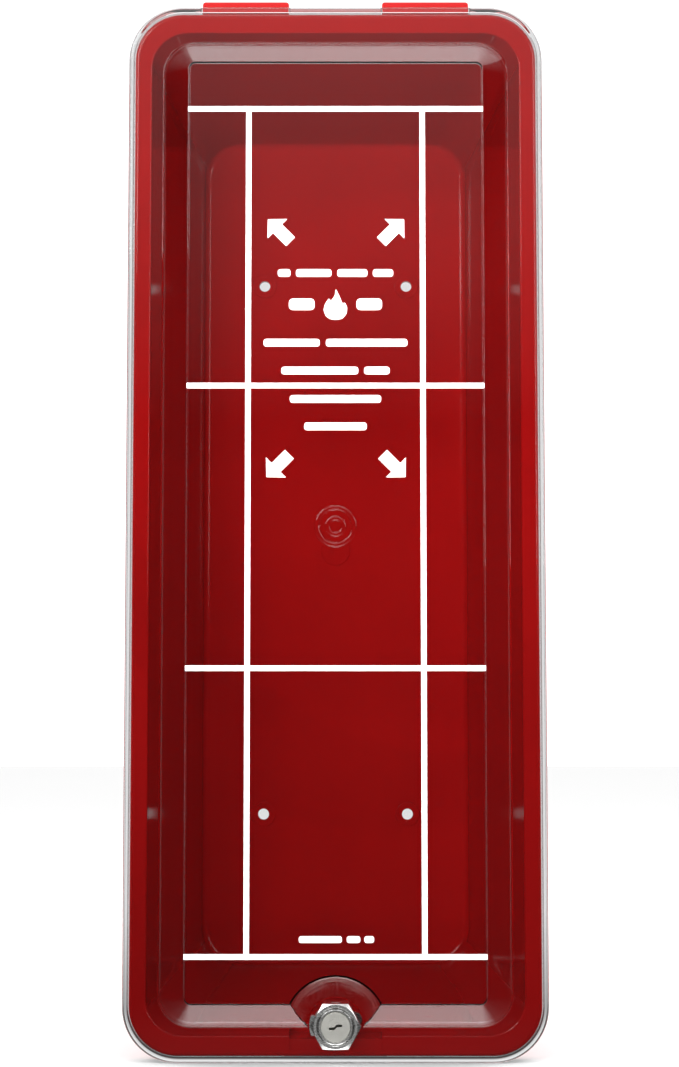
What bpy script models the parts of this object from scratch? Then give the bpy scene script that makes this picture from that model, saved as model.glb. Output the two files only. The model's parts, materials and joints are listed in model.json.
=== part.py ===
"""Surface-mounted fire extinguisher cabinet: a drafted tub, a clear break-front cover and a cam lock.

X runs across the front, +Y into the wall and +Z up. The origin is the middle of the tub's rear face, in
the plane of the wall. Lengths are in metres. The cover hangs on two hook tabs at the top of the tub and
swings out and up. The lock travels with the cover: its cam turns down behind a strike in the tub.
The pose is closed and unlocked, so the cam lies level and the key slot too.
"""

import math

import bmesh
import bpy

# Overall sizes
COVER_WIDTH = 0.230
COVER_HEIGHT = 0.580
CABINET_DEPTH = 0.1844  # wall plane to the outer face of the front panel
COVER_CORNER = 0.030

# Clear cover
COVER_WALL = 0.0022
SKIRT_WALL = 0.0025
SKIRT_DEPTH = 0.0180
SKIRT_EDGE_ROUND = 0.0025
PANEL_RISE = 0.0120  # front panel ahead of the flange
COVER_FLANGE = 0.0195
COVER_END_FLANGE = 0.0205
BEVEL_RUN = 0.0145
PANEL_LOWER = 0.0025  # how much lower the panel's bottom edge lies than its top edge lies high
FOOT_LOWER = 0.0010  # the same for the foot of the bevel
MOULDED_ROUND = 0.30  # share of a round that its middle point stands in from the corner
PANEL_CORNER = 0.0040
BEVEL_FOOT_CORNER = 0.0180
SCORE_WIDTH = 0.0010
SCORE_DEPTH = 0.0006
SCORE_ROWS = 4
SCORE_ROW_EDGE = 0.02475  # panel edge to the first and to the last row, on average
SCORE_COLUMN_PITCH = 0.0952
PATTERN_DROP = 0.0018  # middle of the score lines and rings below the middle of the panel
RING_RADII = (0.0101, 0.0044)
RING_HALF_WIDTH = 0.0015
RING_HEIGHT = 0.0007

# Tub
SKIRT_GAP = 0.0010  # rim of the tub to the inside of the skirt
SEAT_GAP = 0.0003  # rim face to the inside of the cover's flange
TUB_WALL = 0.0030
BACK_WALL = 0.0030
RIM_FLANGE = 0.0093
RIM_END_FLANGE = 0.0110
RIM_WALL = 0.0026
RIM_LIP = 0.0140
RIM_EDGE_ROUND = 0.0025
SIDE_DRAFT = 0.0210  # how far each side wall closes in from the rim to the back wall
END_DRAFT = 0.0198
BACK_CORNER = 0.0218
OPENING_CORNER = 0.0200
BACK_FILLET = 0.0040
HOLE_COLUMN_PITCH = 0.0889
HOLE_ROW_PITCH = 0.3302
HOLE_RADIUS = 0.00335
HOLE_BOSS_RADIUS = 0.0075
HOLE_BOSS_HEIGHT = 0.0008
CENTRE_BOSS_RADIUS = 0.0090
CENTRE_BOSS_HEIGHT = 0.0012
CENTRE_BOSS_DROP = 0.0022  # below the middle of the back wall
PILOT_RADIUS = 0.0030
PILOT_DEPTH = 0.0022

# Hook hinge
TAB_WIDTH = 0.0485
TAB_PITCH = 0.1008
TAB_THICKNESS = 0.0030
TAB_ABOVE_COVER = 0.0065
TAB_EDGE_ROUND = 0.0006
HOOK_GAP = 0.0014  # top of the cover to the underside of the hook
HINGE_BAR = 0.0030  # strip of skirt left behind each slot
HINGE_CLEARANCE = 0.0003
SLOT_SIDE_CLEARANCE = 0.0008

# Lock
LOCK_ABOVE_EDGE = 0.0204
TOOL_CLEARANCE = 0.0009  # corner of the nut to the foot of the recess
RECESS_SPREAD = 0.0122  # how much wider the recess is at the panel than at its floor
SPOT_FACE = 0.00005
FIT = 0.0003  # between pieces that seat on or in each other
EASED = 0.8  # share of a fit or a radius where a piece sits a little closer
BARREL_RADIUS = 0.0095
BARREL_FLAT_DEPTH = 0.00035
BARREL_EDGE = 0.0006
BARREL_FRONT = 0.0076  # ahead of the cover's flange
BARREL_BEHIND = 0.0174
SHOULDER_WIDTH = 0.0020  # beyond the barrel
SHOULDER_THICKNESS = 0.0018
GASKET_THICKNESS = 0.0007
WASHER_PAST_NUT = 0.0003  # beyond the flats of the nut
WASHER_TAB_LENGTH = 0.0019
WASHER_TAB_ANGLE = 26
WASHER_THICKNESS = 0.0010
NUT_WALL = 0.0025  # barrel to the flats of the nut
NUT_THICKNESS = 0.0050
NUT_CHAMFER = 0.0011
PLUG_RADIUS = 0.00675
PLUG_FACE_RADIUS = 0.0079
PLUG_FACE_THICKNESS = 0.0014
PLUG_RUNNING_FIT = 0.00025
KEY_SLOT_LENGTH = 0.0074
KEY_SLOT_STEP = 0.0014
KEY_SLOT_STROKE = 0.0015
KEY_SLOT_LEAN = 0.0007
WAFER_COUNT = 4
WAFER_PITCH = 0.0027
FIRST_WAFER = 0.0030  # ahead of the cover's flange
WAFER_THICKNESS = 0.0009
WAFER_END_FIT = 0.00025  # end of a wafer inside the plug
GROOVE_WALL = 0.0013  # barrel outside the grooves that the wafers spring into
WAFER_HALF_HEIGHT = 0.0033
WAFER_TRAVEL = 0.0008
WINDOW_HALF_HEIGHT = 0.00160
SPRING_LENGTH = 0.0044
SPRING_RADIUS = 0.00052
SPRING_WIRE = 0.00012
SPRING_TURNS = 5
POST_WIDTH = 0.0007
REAR_RING_LENGTH = 0.0025
CLIP_LIP = 0.0006  # clip beyond the bore
CLIP_GROOVE = 0.0008
CLIP_THICKNESS = 0.0008
CLIP_GAP_ANGLE = 50
STOP_TAB_ANGLE = 14
STOP_CLEARANCE_ANGLE = 2
STOP_THICKNESS = 0.0010
TURN_ANGLE = 90
SHANK_SIDE = 0.0060
CAM_THICKNESS = 0.0022
CAM_REACH = 0.0145
CAM_PIVOT_RADIUS = 0.0065
CAM_TIP_RADIUS = 0.0045
CAM_WASHER_RADIUS = 0.0054
CAM_WASHER_THICKNESS = 0.0008
STUD_RADIUS = 0.0030
STUD_PAST_NUT = 0.0009
CAM_NUT_FLATS = 0.0100
CAM_NUT_THICKNESS = 0.0035
CAM_NUT_CHAMFER = 0.0005
NUT_CHAMFER_SLOPE = 0.5  # fall over run
NUT_CUTTER_OVERRUN = 0.1  # of the chamfer, past the faces and corners

# Strike in the tub's floor
POCKET_WIDTH = 0.0500
POCKET_DROP = 0.0076  # pocket floor below the lock's axis
STRIKE_WALL = 0.0030
STRIKE_INSET = 0.0005  # underside of the strike above the rim's underside
LEAD_IN_DEPTH = 0.0016
LEAD_IN_HEIGHT = 0.0060
NOTCH_CLEARANCE = 0.0010
SHOULDER_CLEARANCE = 0.0008
CAM_CLEARANCE = 0.0007

# Fineness
CORNER_STEPS = 6
ROUND_STEPS = 32

# Places worked out from the sizes above
PANEL_Y = -CABINET_DEPTH
FLANGE_Y = PANEL_Y + PANEL_RISE
FLANGE_BACK_Y = FLANGE_Y + COVER_WALL
SKIRT_REAR_Y = FLANGE_Y + SKIRT_DEPTH
RIM_Y = FLANGE_BACK_Y + SEAT_GAP
RIM_INSET = SKIRT_WALL + SKIRT_GAP
RIM_WIDTH = COVER_WIDTH - 2 * RIM_INSET
RIM_HEIGHT = COVER_HEIGHT - 2 * RIM_INSET
RIM_CORNER = COVER_CORNER - RIM_INSET
OPENING_WIDTH = RIM_WIDTH - 2 * RIM_FLANGE
OPENING_HEIGHT = RIM_HEIGHT - 2 * RIM_END_FLANGE
PANEL_HALF_WIDTH = COVER_WIDTH / 2 - COVER_FLANGE - BEVEL_RUN
PANEL_HALF_HEIGHT = COVER_HEIGHT / 2 - COVER_END_FLANGE - BEVEL_RUN
SCORE_ROW_PITCH = 2 * (PANEL_HALF_HEIGHT - SCORE_ROW_EDGE) / (SCORE_ROWS - 1)
HINGE_Y = SKIRT_REAR_Y - HINGE_BAR / 2
HINGE_Z = COVER_HEIGHT / 2 - SKIRT_WALL / 2
LOCK_Z = -COVER_HEIGHT / 2 + LOCK_ABOVE_EDGE
BARREL_FLAT = BARREL_RADIUS - BARREL_FLAT_DEPTH  # axis to each flat
NUT_FLATS = 2 * (BARREL_RADIUS + NUT_WALL)
WASHER_RADIUS = NUT_FLATS / 2 + WASHER_PAST_NUT
WASHER_TAB_RADIUS = WASHER_RADIUS + WASHER_TAB_LENGTH
RECESS_FLOOR_RADIUS = NUT_FLATS / math.sqrt(3) + TOOL_CLEARANCE
RECESS_FRONT_RADIUS = RECESS_FLOOR_RADIUS + RECESS_SPREAD
SHOULDER_RADIUS = BARREL_RADIUS + SHOULDER_WIDTH
WASHER_BACK = FIT - SPOT_FACE
NUT_BACK = WASHER_BACK + WASHER_THICKNESS + FIT
GASKET_FRONT = -COVER_WALL - FIT
SHOULDER_FRONT = GASKET_FRONT - GASKET_THICKNESS - FIT
BARREL_BACK = -BARREL_BEHIND
BORE_RADIUS = PLUG_RADIUS + PLUG_RUNNING_FIT
WAFER_END_RADIUS = PLUG_RADIUS - WAFER_END_FIT
CLIP_RADIUS = BORE_RADIUS + CLIP_LIP
REAR_RING_INNER = CLIP_RADIUS + FIT
STOP_TAB_RADIUS = BARREL_RADIUS - FIT
PLUG_FACE_FRONT = BARREL_FRONT + FIT
PLUG_FACE_BACK = PLUG_FACE_FRONT - PLUG_FACE_THICKNESS
CLIP_FRONT = BARREL_BACK - EASED * FIT
CLIP_BACK = CLIP_FRONT - CLIP_THICKNESS
PLUG_BACK = CLIP_BACK - 1.2 * FIT
STOP_FRONT = PLUG_BACK - FIT
STOP_BACK = STOP_FRONT - STOP_THICKNESS
CAM_FRONT = STOP_BACK - 2 * FIT
CAM_BACK = CAM_FRONT - CAM_THICKNESS
CAM_WASHER_FRONT = CAM_BACK - FIT
CAM_NUT_FRONT = CAM_WASHER_FRONT - CAM_WASHER_THICKNESS - FIT
STUD_BACK = CAM_NUT_FRONT - CAM_NUT_THICKNESS - STUD_PAST_NUT

LOCK_PLACE = (0.0, FLANGE_Y, LOCK_Z)  # +Z of a lock piece's own frame faces the front
LOCK_TURN = (math.radians(90), 0.0, 0.0)


def clear_scene():
    for item in list(bpy.data.objects):
        bpy.data.objects.remove(item, do_unlink=True)


def new_collection(name):
    collection = bpy.data.collections.new(name)
    bpy.context.scene.collection.children.link(collection)
    return collection


clear_scene()
CABINET = new_collection("fire_extinguisher_cabinet")
CUTTERS = new_collection("cutters_and_joiners")


def material(name, colour, roughness, metallic=0.0, transmission=0.0):
    """A Principled material in one plain finish."""
    made = bpy.data.materials.new(name)
    made.use_nodes = True
    shader = made.node_tree.nodes["Principled BSDF"]
    shader.inputs["Base Color"].default_value = (*colour, 1.0)
    shader.inputs["Roughness"].default_value = roughness
    shader.inputs["Metallic"].default_value = metallic
    shader.inputs["Transmission Weight"].default_value = transmission
    return made


def add_object(name, made, finish=None):
    """A mesh object from a bmesh. With a finish it is a sub-part, and without one a hidden helper."""
    bmesh.ops.recalc_face_normals(made, faces=made.faces)
    mesh = bpy.data.meshes.new(name)
    made.to_mesh(mesh)
    made.free()
    piece = bpy.data.objects.new(name, mesh)
    if finish is None:
        CUTTERS.objects.link(piece)
        piece.hide_render = True
        piece.display_type = "WIRE"
    else:
        CABINET.objects.link(piece)
        mesh.materials.append(finish)
        mesh.shade_smooth()
        mesh.set_sharp_from_angle(angle=math.radians(35))
    return piece


def on_lock(piece):
    """Puts a piece that was built about the lock's own axis on that axis."""
    piece.location = LOCK_PLACE
    piece.rotation_euler = LOCK_TURN
    return piece


def rounded_rectangle(width, height, corner, y):
    """Points of an upright rounded rectangle in the plane at y."""
    points = []
    for quarter, (side, up) in enumerate(((1, 1), (-1, 1), (-1, -1), (1, -1))):
        middle_x = side * (width / 2 - corner)
        middle_z = up * (height / 2 - corner)
        for step in range(CORNER_STEPS + 1):
            angle = math.radians(90 * (quarter + step / CORNER_STEPS))
            points.append((middle_x + corner * math.cos(angle), y, middle_z + corner * math.sin(angle)))
    return points


def inset_section(inset, corner_from, y):
    """A rounded rectangle inset by so much from the outline (width, height, corner) given."""
    width, height, corner = corner_from
    return rounded_rectangle(width - 2 * inset, height - 2 * inset, corner - inset, y)


def loft(name, sections, finish=None):
    """A closed body through sections with equally many points, capped at both ends."""
    made = bmesh.new()
    rings = [[made.verts.new(point) for point in section] for section in sections]
    count = len(rings[0])
    for near, far in zip(rings, rings[1:]):
        for index in range(count):
            after = (index + 1) % count
            made.faces.new((near[index], near[after], far[after], far[index]))
    made.faces.new(rings[0])
    made.faces.new(rings[-1])
    return add_object(name, made, finish)


def box(name, low, high, finish=None):
    """A box between two corners."""
    made = bmesh.new()
    bmesh.ops.create_cube(made, size=1.0)
    size = [far - near for near, far in zip(low, high)]
    middle = [(far + near) / 2 for near, far in zip(low, high)]
    bmesh.ops.scale(made, vec=size, verts=made.verts)
    bmesh.ops.translate(made, vec=middle, verts=made.verts)
    return add_object(name, made, finish)


def add_prism(made, outline, low, high, axis=2):
    """Extrudes a flat outline from low to high along one axis of the bmesh."""
    base = []
    for first, second in outline:
        point = [first, second]
        point.insert(axis, low)
        base.append(made.verts.new(point))
    face = made.faces.new(base)
    grown = bmesh.ops.extrude_face_region(made, geom=[face])
    raised = [item for item in grown["geom"] if isinstance(item, bmesh.types.BMVert)]
    shift = [0.0, 0.0, 0.0]
    shift[axis] = high - low
    bmesh.ops.translate(made, vec=shift, verts=raised)


def prism(name, outline, low, high, finish=None, axis=2):
    made = bmesh.new()
    add_prism(made, outline, low, high, axis)
    return add_object(name, made, finish)


def turned(name, profile, finish=None, closed=False):
    """Turns a profile of (radius, height) about the local Z axis. It runs down its outer side."""
    made = bmesh.new()
    points = [made.verts.new((radius, 0.0, height)) for radius, height in profile]
    for near, far in zip(points, points[1:]):
        made.edges.new((near, far))
    if closed:
        made.edges.new((points[-1], points[0]))
    mesh = bpy.data.meshes.new(name)
    made.to_mesh(mesh)
    made.free()
    piece = bpy.data.objects.new(name, mesh)
    if finish is None:
        CUTTERS.objects.link(piece)
        piece.hide_render = True
        piece.display_type = "WIRE"
    else:
        CABINET.objects.link(piece)
        mesh.materials.append(finish)
    screw = piece.modifiers.new("Turned", "SCREW")
    screw.axis = "Z"
    screw.steps = ROUND_STEPS
    screw.render_steps = ROUND_STEPS
    screw.use_merge_vertices = True
    screw.merge_threshold = 0.00001
    screw.use_smooth_shade = False
    return piece


def cylinder_outline(radius, start=0.0, end=360.0, steps=ROUND_STEPS):
    """Points on a circle from one angle to another, in degrees. A whole circle leaves out its last point."""
    last = steps if end - start >= 360.0 else steps + 1
    turns = [math.radians(start + (end - start) * step / steps) for step in range(last)]
    return [(radius * math.cos(turn), radius * math.sin(turn)) for turn in turns]


def double_flat_outline(radius, flat):
    """A circle with a flat above and below its middle."""
    reach = math.degrees(math.asin(flat / radius))
    right = cylinder_outline(radius, -reach, reach, ROUND_STEPS // 2 - 2)
    left = cylinder_outline(radius, 180 - reach, 180 + reach, ROUND_STEPS // 2 - 2)
    return right + left


def boolean(piece, other, operation):
    change = piece.modifiers.new(other.name, "BOOLEAN")
    change.operation = operation
    change.solver = "EXACT"
    change.object = other


def cut(piece, cutter):
    boolean(piece, cutter, "DIFFERENCE")


def join(piece, other):
    boolean(piece, other, "UNION")


def soften(piece, width, segments=2):
    bevel = piece.modifiers.new("Soft edges", "BEVEL")
    bevel.width = width
    bevel.segments = segments
    bevel.limit_method = "ANGLE"
    bevel.angle_limit = math.radians(40)


def make_tub():
    """The tub: a drafted box open at the front, with a rim that turns back, hook tabs, bosses and strike."""
    finish = material("red_abs", (0.62, 0.008, 0.010), 0.18)
    rim = (RIM_WIDTH, RIM_HEIGHT, RIM_CORNER)
    opening = (OPENING_WIDTH, OPENING_HEIGHT, OPENING_CORNER)
    back = (OPENING_WIDTH - 2 * SIDE_DRAFT, OPENING_HEIGHT - 2 * END_DRAFT, BACK_CORNER)
    fillet = BACK_FILLET
    soft = RIM_EDGE_ROUND
    slant = MOULDED_ROUND
    sections = [
        inset_section(fillet, back, -BACK_WALL),
        inset_section(fillet * slant, back, -BACK_WALL - fillet * slant),
        inset_section(0.0, back, -BACK_WALL - fillet),
        rounded_rectangle(*opening, RIM_Y),
        inset_section(soft, rim, RIM_Y),
        inset_section(soft * slant, rim, RIM_Y + soft * slant),
        inset_section(0.0, rim, RIM_Y + soft),
        inset_section(0.0, rim, RIM_Y + RIM_LIP),
        inset_section(RIM_WALL, rim, RIM_Y + RIM_LIP),
        inset_section(RIM_WALL, rim, RIM_Y + TUB_WALL),
        inset_section(-TUB_WALL, opening, RIM_Y + TUB_WALL),
        inset_section(-TUB_WALL, back, -BACK_WALL),
        inset_section(0.0, back, 0.0),
    ]
    tub = loft("tub", sections, finish)

    made = bmesh.new()
    for side in (-1, 1):
        for up in (-1, 1):
            middle = (side * HOLE_COLUMN_PITCH / 2, up * HOLE_ROW_PITCH / 2)
            circle = [(x + middle[0], z + middle[1]) for x, z in cylinder_outline(HOLE_BOSS_RADIUS, steps=20)]
            add_prism(made, circle, -BACK_WALL - HOLE_BOSS_HEIGHT, -BACK_WALL / 2, axis=1)
    centre = [(x, z - CENTRE_BOSS_DROP) for x, z in cylinder_outline(CENTRE_BOSS_RADIUS, steps=24)]
    add_prism(made, centre, -BACK_WALL - CENTRE_BOSS_HEIGHT, -BACK_WALL / 2, axis=1)
    join(tub, add_object("back_wall_bosses", made))

    made = bmesh.new()
    for side in (-1, 1):
        for up in (-1, 1):
            middle = (side * HOLE_COLUMN_PITCH / 2, up * HOLE_ROW_PITCH / 2)
            circle = [(x + middle[0], z + middle[1]) for x, z in cylinder_outline(HOLE_RADIUS, steps=16)]
            add_prism(made, circle, -BACK_WALL - 3 * HOLE_BOSS_HEIGHT, BACK_WALL, axis=1)
    pilot = [(x, z - CENTRE_BOSS_DROP) for x, z in cylinder_outline(PILOT_RADIUS, steps=16)]
    pilot_mouth = -BACK_WALL - CENTRE_BOSS_HEIGHT
    add_prism(made, pilot, pilot_mouth - BACK_WALL, pilot_mouth + PILOT_DEPTH, axis=1)
    hole_cutter = add_object("back_wall_holes", made)

    for tab in make_hook_tabs():
        join(tub, tab)
    join(tub, make_strike_block())
    cut(tub, hole_cutter)
    for cutter in make_strike_cutters():
        cut(tub, cutter)
    return tub


def make_hook_tabs():
    """Two tabs that stand up through the cover's slots and hook back over its hinge bars."""
    rear = HINGE_Y - HINGE_BAR / 2 - 2 * HINGE_CLEARANCE
    front = rear - TAB_THICKNESS
    top = COVER_HEIGHT / 2 + TAB_ABOVE_COVER
    underside = COVER_HEIGHT / 2 + HOOK_GAP
    hook_end = HINGE_Y + HINGE_BAR / 4
    root = RIM_HEIGHT / 2 - RIM_WALL / 2
    outline = [
        (front, root),
        (rear, root),
        (rear, underside),
        (hook_end, underside),
        (hook_end, top),
        (front, top),
    ]
    tabs = []
    for name, side in (("left_hook_tab", -1), ("right_hook_tab", 1)):
        middle = side * TAB_PITCH / 2
        tab = prism(name, outline, middle - TAB_WIDTH / 2, middle + TAB_WIDTH / 2, axis=0)
        soften(tab, TAB_EDGE_ROUND)
        tabs.append(tab)
    return tabs


def tub_floor_middle(y):
    """Height of the middle of the tub's floor wall at a depth y."""
    slope = END_DRAFT / (-BACK_WALL - RIM_Y)
    return -OPENING_HEIGHT / 2 + (y - RIM_Y) * slope - TUB_WALL / 2


def strike_slot_range():
    """Depths between which the cam passes through the tub's floor."""
    return FLANGE_Y - CAM_FRONT - CAM_CLEARANCE, FLANGE_Y - CAM_BACK + CAM_CLEARANCE


def pocket_rear():
    """Depth of the rear end of the pocket, just past the stud."""
    return FLANGE_Y - STUD_BACK + 2 * CAM_CLEARANCE


def make_strike_block():
    """A thick place in the tub's floor under the lock, which the pocket and the strike are cut into."""
    half = POCKET_WIDTH / 2 + STRIKE_WALL
    front = RIM_Y + TUB_WALL / 2
    rear = pocket_rear() + STRIKE_WALL
    bottom = -RIM_HEIGHT / 2 + STRIKE_INSET
    outline = [
        (front, bottom),
        (rear, bottom),
        (rear, tub_floor_middle(rear)),
        (front, tub_floor_middle(front)),
    ]
    return prism("strike_block", outline, -half, half, axis=0)


def make_strike_cutters():
    """The pocket over the strike, the notches round the lock, the cam's slot and the lead-in ahead of it."""
    half = POCKET_WIDTH / 2
    slot_front, slot_rear = strike_slot_range()
    floor = LOCK_Z - POCKET_DROP
    ahead = RIM_Y - TUB_WALL
    pocket = box(
        "strike_pocket",
        (-half, ahead, floor),
        (half, pocket_rear(), LOCK_Z),
    )
    sweep = math.sqrt(CAM_REACH**2 - POCKET_DROP**2) + CAM_CLEARANCE
    slot = box(
        "cam_slot",
        (-sweep, slot_front, -COVER_HEIGHT / 2 - SKIRT_WALL),
        (sweep, slot_rear, floor + TUB_WALL),
    )
    barrel_notch = on_lock(
        prism(
            "barrel_notch",
            cylinder_outline(BARREL_RADIUS + NOTCH_CLEARANCE),
            FLANGE_Y - slot_front - CAM_CLEARANCE,
            FLANGE_Y - ahead,
        )
    )
    shoulder_notch = on_lock(
        prism(
            "shoulder_notch",
            cylinder_outline(SHOULDER_RADIUS + SHOULDER_CLEARANCE),
            SHOULDER_FRONT - SHOULDER_THICKNESS - SHOULDER_CLEARANCE,
            FLANGE_Y - ahead,
        )
    )
    lead_in = prism(
        "strike_lead_in",
        [
            (ahead, floor + LEAD_IN_DEPTH),
            (RIM_Y + LEAD_IN_DEPTH, floor + LEAD_IN_DEPTH),
            (RIM_Y + LEAD_IN_DEPTH, floor),
            (RIM_Y, floor - LEAD_IN_HEIGHT),
            (ahead, floor - LEAD_IN_HEIGHT),
        ],
        -half,
        half,
        axis=0,
    )
    return pocket, slot, barrel_notch, shoulder_notch, lead_in


def lowered(section, by):
    """The same section with its lower half moved down."""
    return [(x, y, z - by if z < 0 else z) for x, y, z in section]


def cover_sections(inset, front_inset):
    """Sections of the raised front of the cover, inset by a share of its wall."""
    bevel_angle = math.atan2(PANEL_RISE, BEVEL_RUN)
    mitre = inset * math.tan(bevel_angle / 2)
    panel = (2 * PANEL_HALF_WIDTH, 2 * PANEL_HALF_HEIGHT, PANEL_CORNER)
    foot = (panel[0] + 2 * BEVEL_RUN, panel[1] + 2 * BEVEL_RUN, BEVEL_FOOT_CORNER)
    return [
        lowered(inset_section(mitre, panel, PANEL_Y + front_inset), PANEL_LOWER),
        lowered(inset_section(mitre, foot, FLANGE_Y + front_inset), FOOT_LOWER),
    ]


def make_cover():
    """The clear cover: a raised panel, a bevel all round, a flat flange and a skirt over the tub's rim."""
    finish = material("clear_styrene", (0.98, 0.98, 0.98), 0.03, transmission=1.0)
    outline = (COVER_WIDTH, COVER_HEIGHT, COVER_CORNER)
    soft = SKIRT_EDGE_ROUND
    slant = MOULDED_ROUND
    inner = cover_sections(COVER_WALL, COVER_WALL)
    sections = cover_sections(0.0, 0.0) + [
        inset_section(soft, outline, FLANGE_Y),
        inset_section(soft * slant, outline, FLANGE_Y + soft * slant),
        inset_section(0.0, outline, FLANGE_Y + soft),
        inset_section(0.0, outline, SKIRT_REAR_Y),
        inset_section(SKIRT_WALL, outline, SKIRT_REAR_Y),
        inset_section(SKIRT_WALL, outline, FLANGE_BACK_Y),
        inner[1],
        inner[0],
    ]
    cover = loft("cover", sections, finish)

    cup = make_recess_cup()
    join(cover, cup)
    cut(cover, make_recess_cutter())
    for ring in make_centre_rings():
        join(cover, ring)
    for cutter in make_score_cutters():
        cut(cover, cutter)
    barrel_hole = prism(
        "barrel_hole",
        double_flat_outline(BARREL_RADIUS + FIT, BARREL_FLAT + FIT),
        -3 * COVER_WALL,
        3 * COVER_WALL,
    )
    cut(cover, on_lock(barrel_hole))
    cut(cover, make_hinge_slots())
    return cover


def make_recess_cup():
    """The wall behind the lock's conical recess, kept inside the middle of the cover's own wall."""
    cone_slope = (RECESS_FRONT_RADIUS - RECESS_FLOOR_RADIUS) / PANEL_RISE
    wall = COVER_WALL * math.sqrt(1 + cone_slope**2)
    behind = COVER_WALL
    ahead = PANEL_RISE
    profile = [
        (0.0, ahead),
        (RECESS_FLOOR_RADIUS + wall + cone_slope * ahead, ahead),
        (RECESS_FLOOR_RADIUS + wall - cone_slope * behind, -behind),
        (0.0, -behind),
    ]
    cup = on_lock(turned("recess_cup", profile))
    front, foot = cover_sections(COVER_WALL / 2, COVER_WALL / 2)
    behind_foot = [(x, FLANGE_BACK_Y + COVER_WALL, z) for x, _, z in foot]
    boolean(cup, loft("inside_cover_wall", [front, foot, behind_foot]), "INTERSECT")
    return cup


def make_recess_cutter():
    cone_slope = (RECESS_FRONT_RADIUS - RECESS_FLOOR_RADIUS) / PANEL_RISE
    ahead = 2 * PANEL_RISE
    profile = [
        (0.0, ahead),
        (RECESS_FLOOR_RADIUS + cone_slope * ahead, ahead),
        (RECESS_FLOOR_RADIUS, -SPOT_FACE),
        (0.0, -SPOT_FACE),
    ]
    return on_lock(turned("recess_cutter", profile))


def make_centre_rings():
    """Two low rings moulded at the middle of the front panel."""
    rings = []
    for index, radius in enumerate(RING_RADII):
        profile = []
        for step in range(7):
            angle = math.radians(180 * step / 6)
            across = radius + RING_HALF_WIDTH * math.cos(angle)
            profile.append((across, RING_HEIGHT * math.sin(angle)))
        inner_foot = (radius - RING_HALF_WIDTH, -COVER_WALL / 2)
        outer_foot = (radius + RING_HALF_WIDTH, -COVER_WALL / 2)
        outline = list(reversed(profile)) + [outer_foot, inner_foot]
        ring = turned(f"centre_ring_{index + 1}", outline, closed=True)
        ring.location = (0.0, PANEL_Y, -PATTERN_DROP)
        ring.rotation_euler = LOCK_TURN
        rings.append(ring)
    return rings


def make_score_cutters():
    """Shallow grooves behind the panel, along which it breaks when it is struck."""
    groove_back = PANEL_Y + COVER_WALL
    across = PANEL_HALF_WIDTH - 2 * COVER_WALL
    top_row = SCORE_ROW_PITCH * (SCORE_ROWS - 1) / 2 - PATTERN_DROP
    bottom_row = top_row - SCORE_ROW_PITCH * (SCORE_ROWS - 1)
    low_y, high_y = groove_back - SCORE_DEPTH, groove_back + COVER_WALL
    half = SCORE_WIDTH / 2
    rows = bmesh.new()
    for row in range(SCORE_ROWS):
        z = top_row - row * SCORE_ROW_PITCH
        outline = [(-across, z - half), (across, z - half), (across, z + half), (-across, z + half)]
        add_prism(rows, outline, low_y, high_y, axis=1)
    columns = bmesh.new()
    for side in (-1, 1):
        x = side * SCORE_COLUMN_PITCH / 2
        outline = [(x - half, bottom_row), (x + half, bottom_row), (x + half, top_row), (x - half, top_row)]
        add_prism(columns, outline, low_y, high_y, axis=1)
    return add_object("score_rows", rows), add_object("score_columns", columns)


def make_hinge_slots():
    """Slots in the top of the skirt that let the hook tabs through, with a bar left behind each."""
    rear = HINGE_Y - HINGE_BAR / 2
    tab_front = rear - 2 * HINGE_CLEARANCE - TAB_THICKNESS
    tab_top = COVER_HEIGHT / 2 + TAB_ABOVE_COVER
    reach = math.hypot(HINGE_Y - tab_front, tab_top - HINGE_Z)
    front = HINGE_Y - reach - 3 * HINGE_CLEARANCE
    half = TAB_WIDTH / 2 + SLOT_SIDE_CLEARANCE
    low = COVER_HEIGHT / 2 - SKIRT_WALL - SKIRT_GAP / 2
    high = COVER_HEIGHT / 2 + SKIRT_WALL
    made = bmesh.new()
    for side in (-1, 1):
        middle = side * TAB_PITCH / 2
        left, right = middle - half, middle + half
        outline = [(left, front), (right, front), (right, rear), (left, rear)]
        add_prism(made, outline, low, high, axis=2)
    return add_object("hinge_slots", made)


def make_lock_washer(finish):
    """A thin washer behind the nut, with one tab."""
    outline = []
    for step in range(2 * ROUND_STEPS):
        degrees = 360 * step / (2 * ROUND_STEPS)
        on_tab = abs(degrees - 180) <= WASHER_TAB_ANGLE
        radius = WASHER_TAB_RADIUS if on_tab else WASHER_RADIUS
        outline.append((radius * math.cos(math.radians(degrees)), radius * math.sin(math.radians(degrees))))
    washer = prism("lock_washer", outline, WASHER_BACK, WASHER_BACK + WASHER_THICKNESS, finish)
    outline = double_flat_outline(BARREL_RADIUS + FIT, BARREL_FLAT + FIT)
    hole = prism("washer_hole", outline, -BARREL_RADIUS, BARREL_RADIUS)
    cut(on_lock(washer), on_lock(hole))


def hex_outline(across_flats):
    radius = across_flats / math.sqrt(3)
    return cylinder_outline(radius, steps=6)


def make_hex_nut(name, flats, bore, back, thickness, chamfer, finish):
    """A hexagon nut with its corners turned off on both faces."""
    nut = on_lock(prism(name, hex_outline(flats), back, back + thickness, finish))
    over = NUT_CUTTER_OVERRUN * chamfer
    corner = flats / math.sqrt(3) + over
    face = flats / 2 - over
    fall = (corner - face) * NUT_CHAMFER_SLOPE
    front = back + thickness
    profile = [
        (0.0, front + over),
        (face, front + over),
        (corner, front - fall),
        (corner, back + fall),
        (face, back - over),
        (0.0, back - over),
    ]
    boolean(nut, on_lock(turned(f"{name}_chamfer", profile)), "INTERSECT")
    hole = prism(f"{name}_bore", cylinder_outline(bore), back - thickness, front + thickness)
    cut(nut, on_lock(hole))


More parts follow.
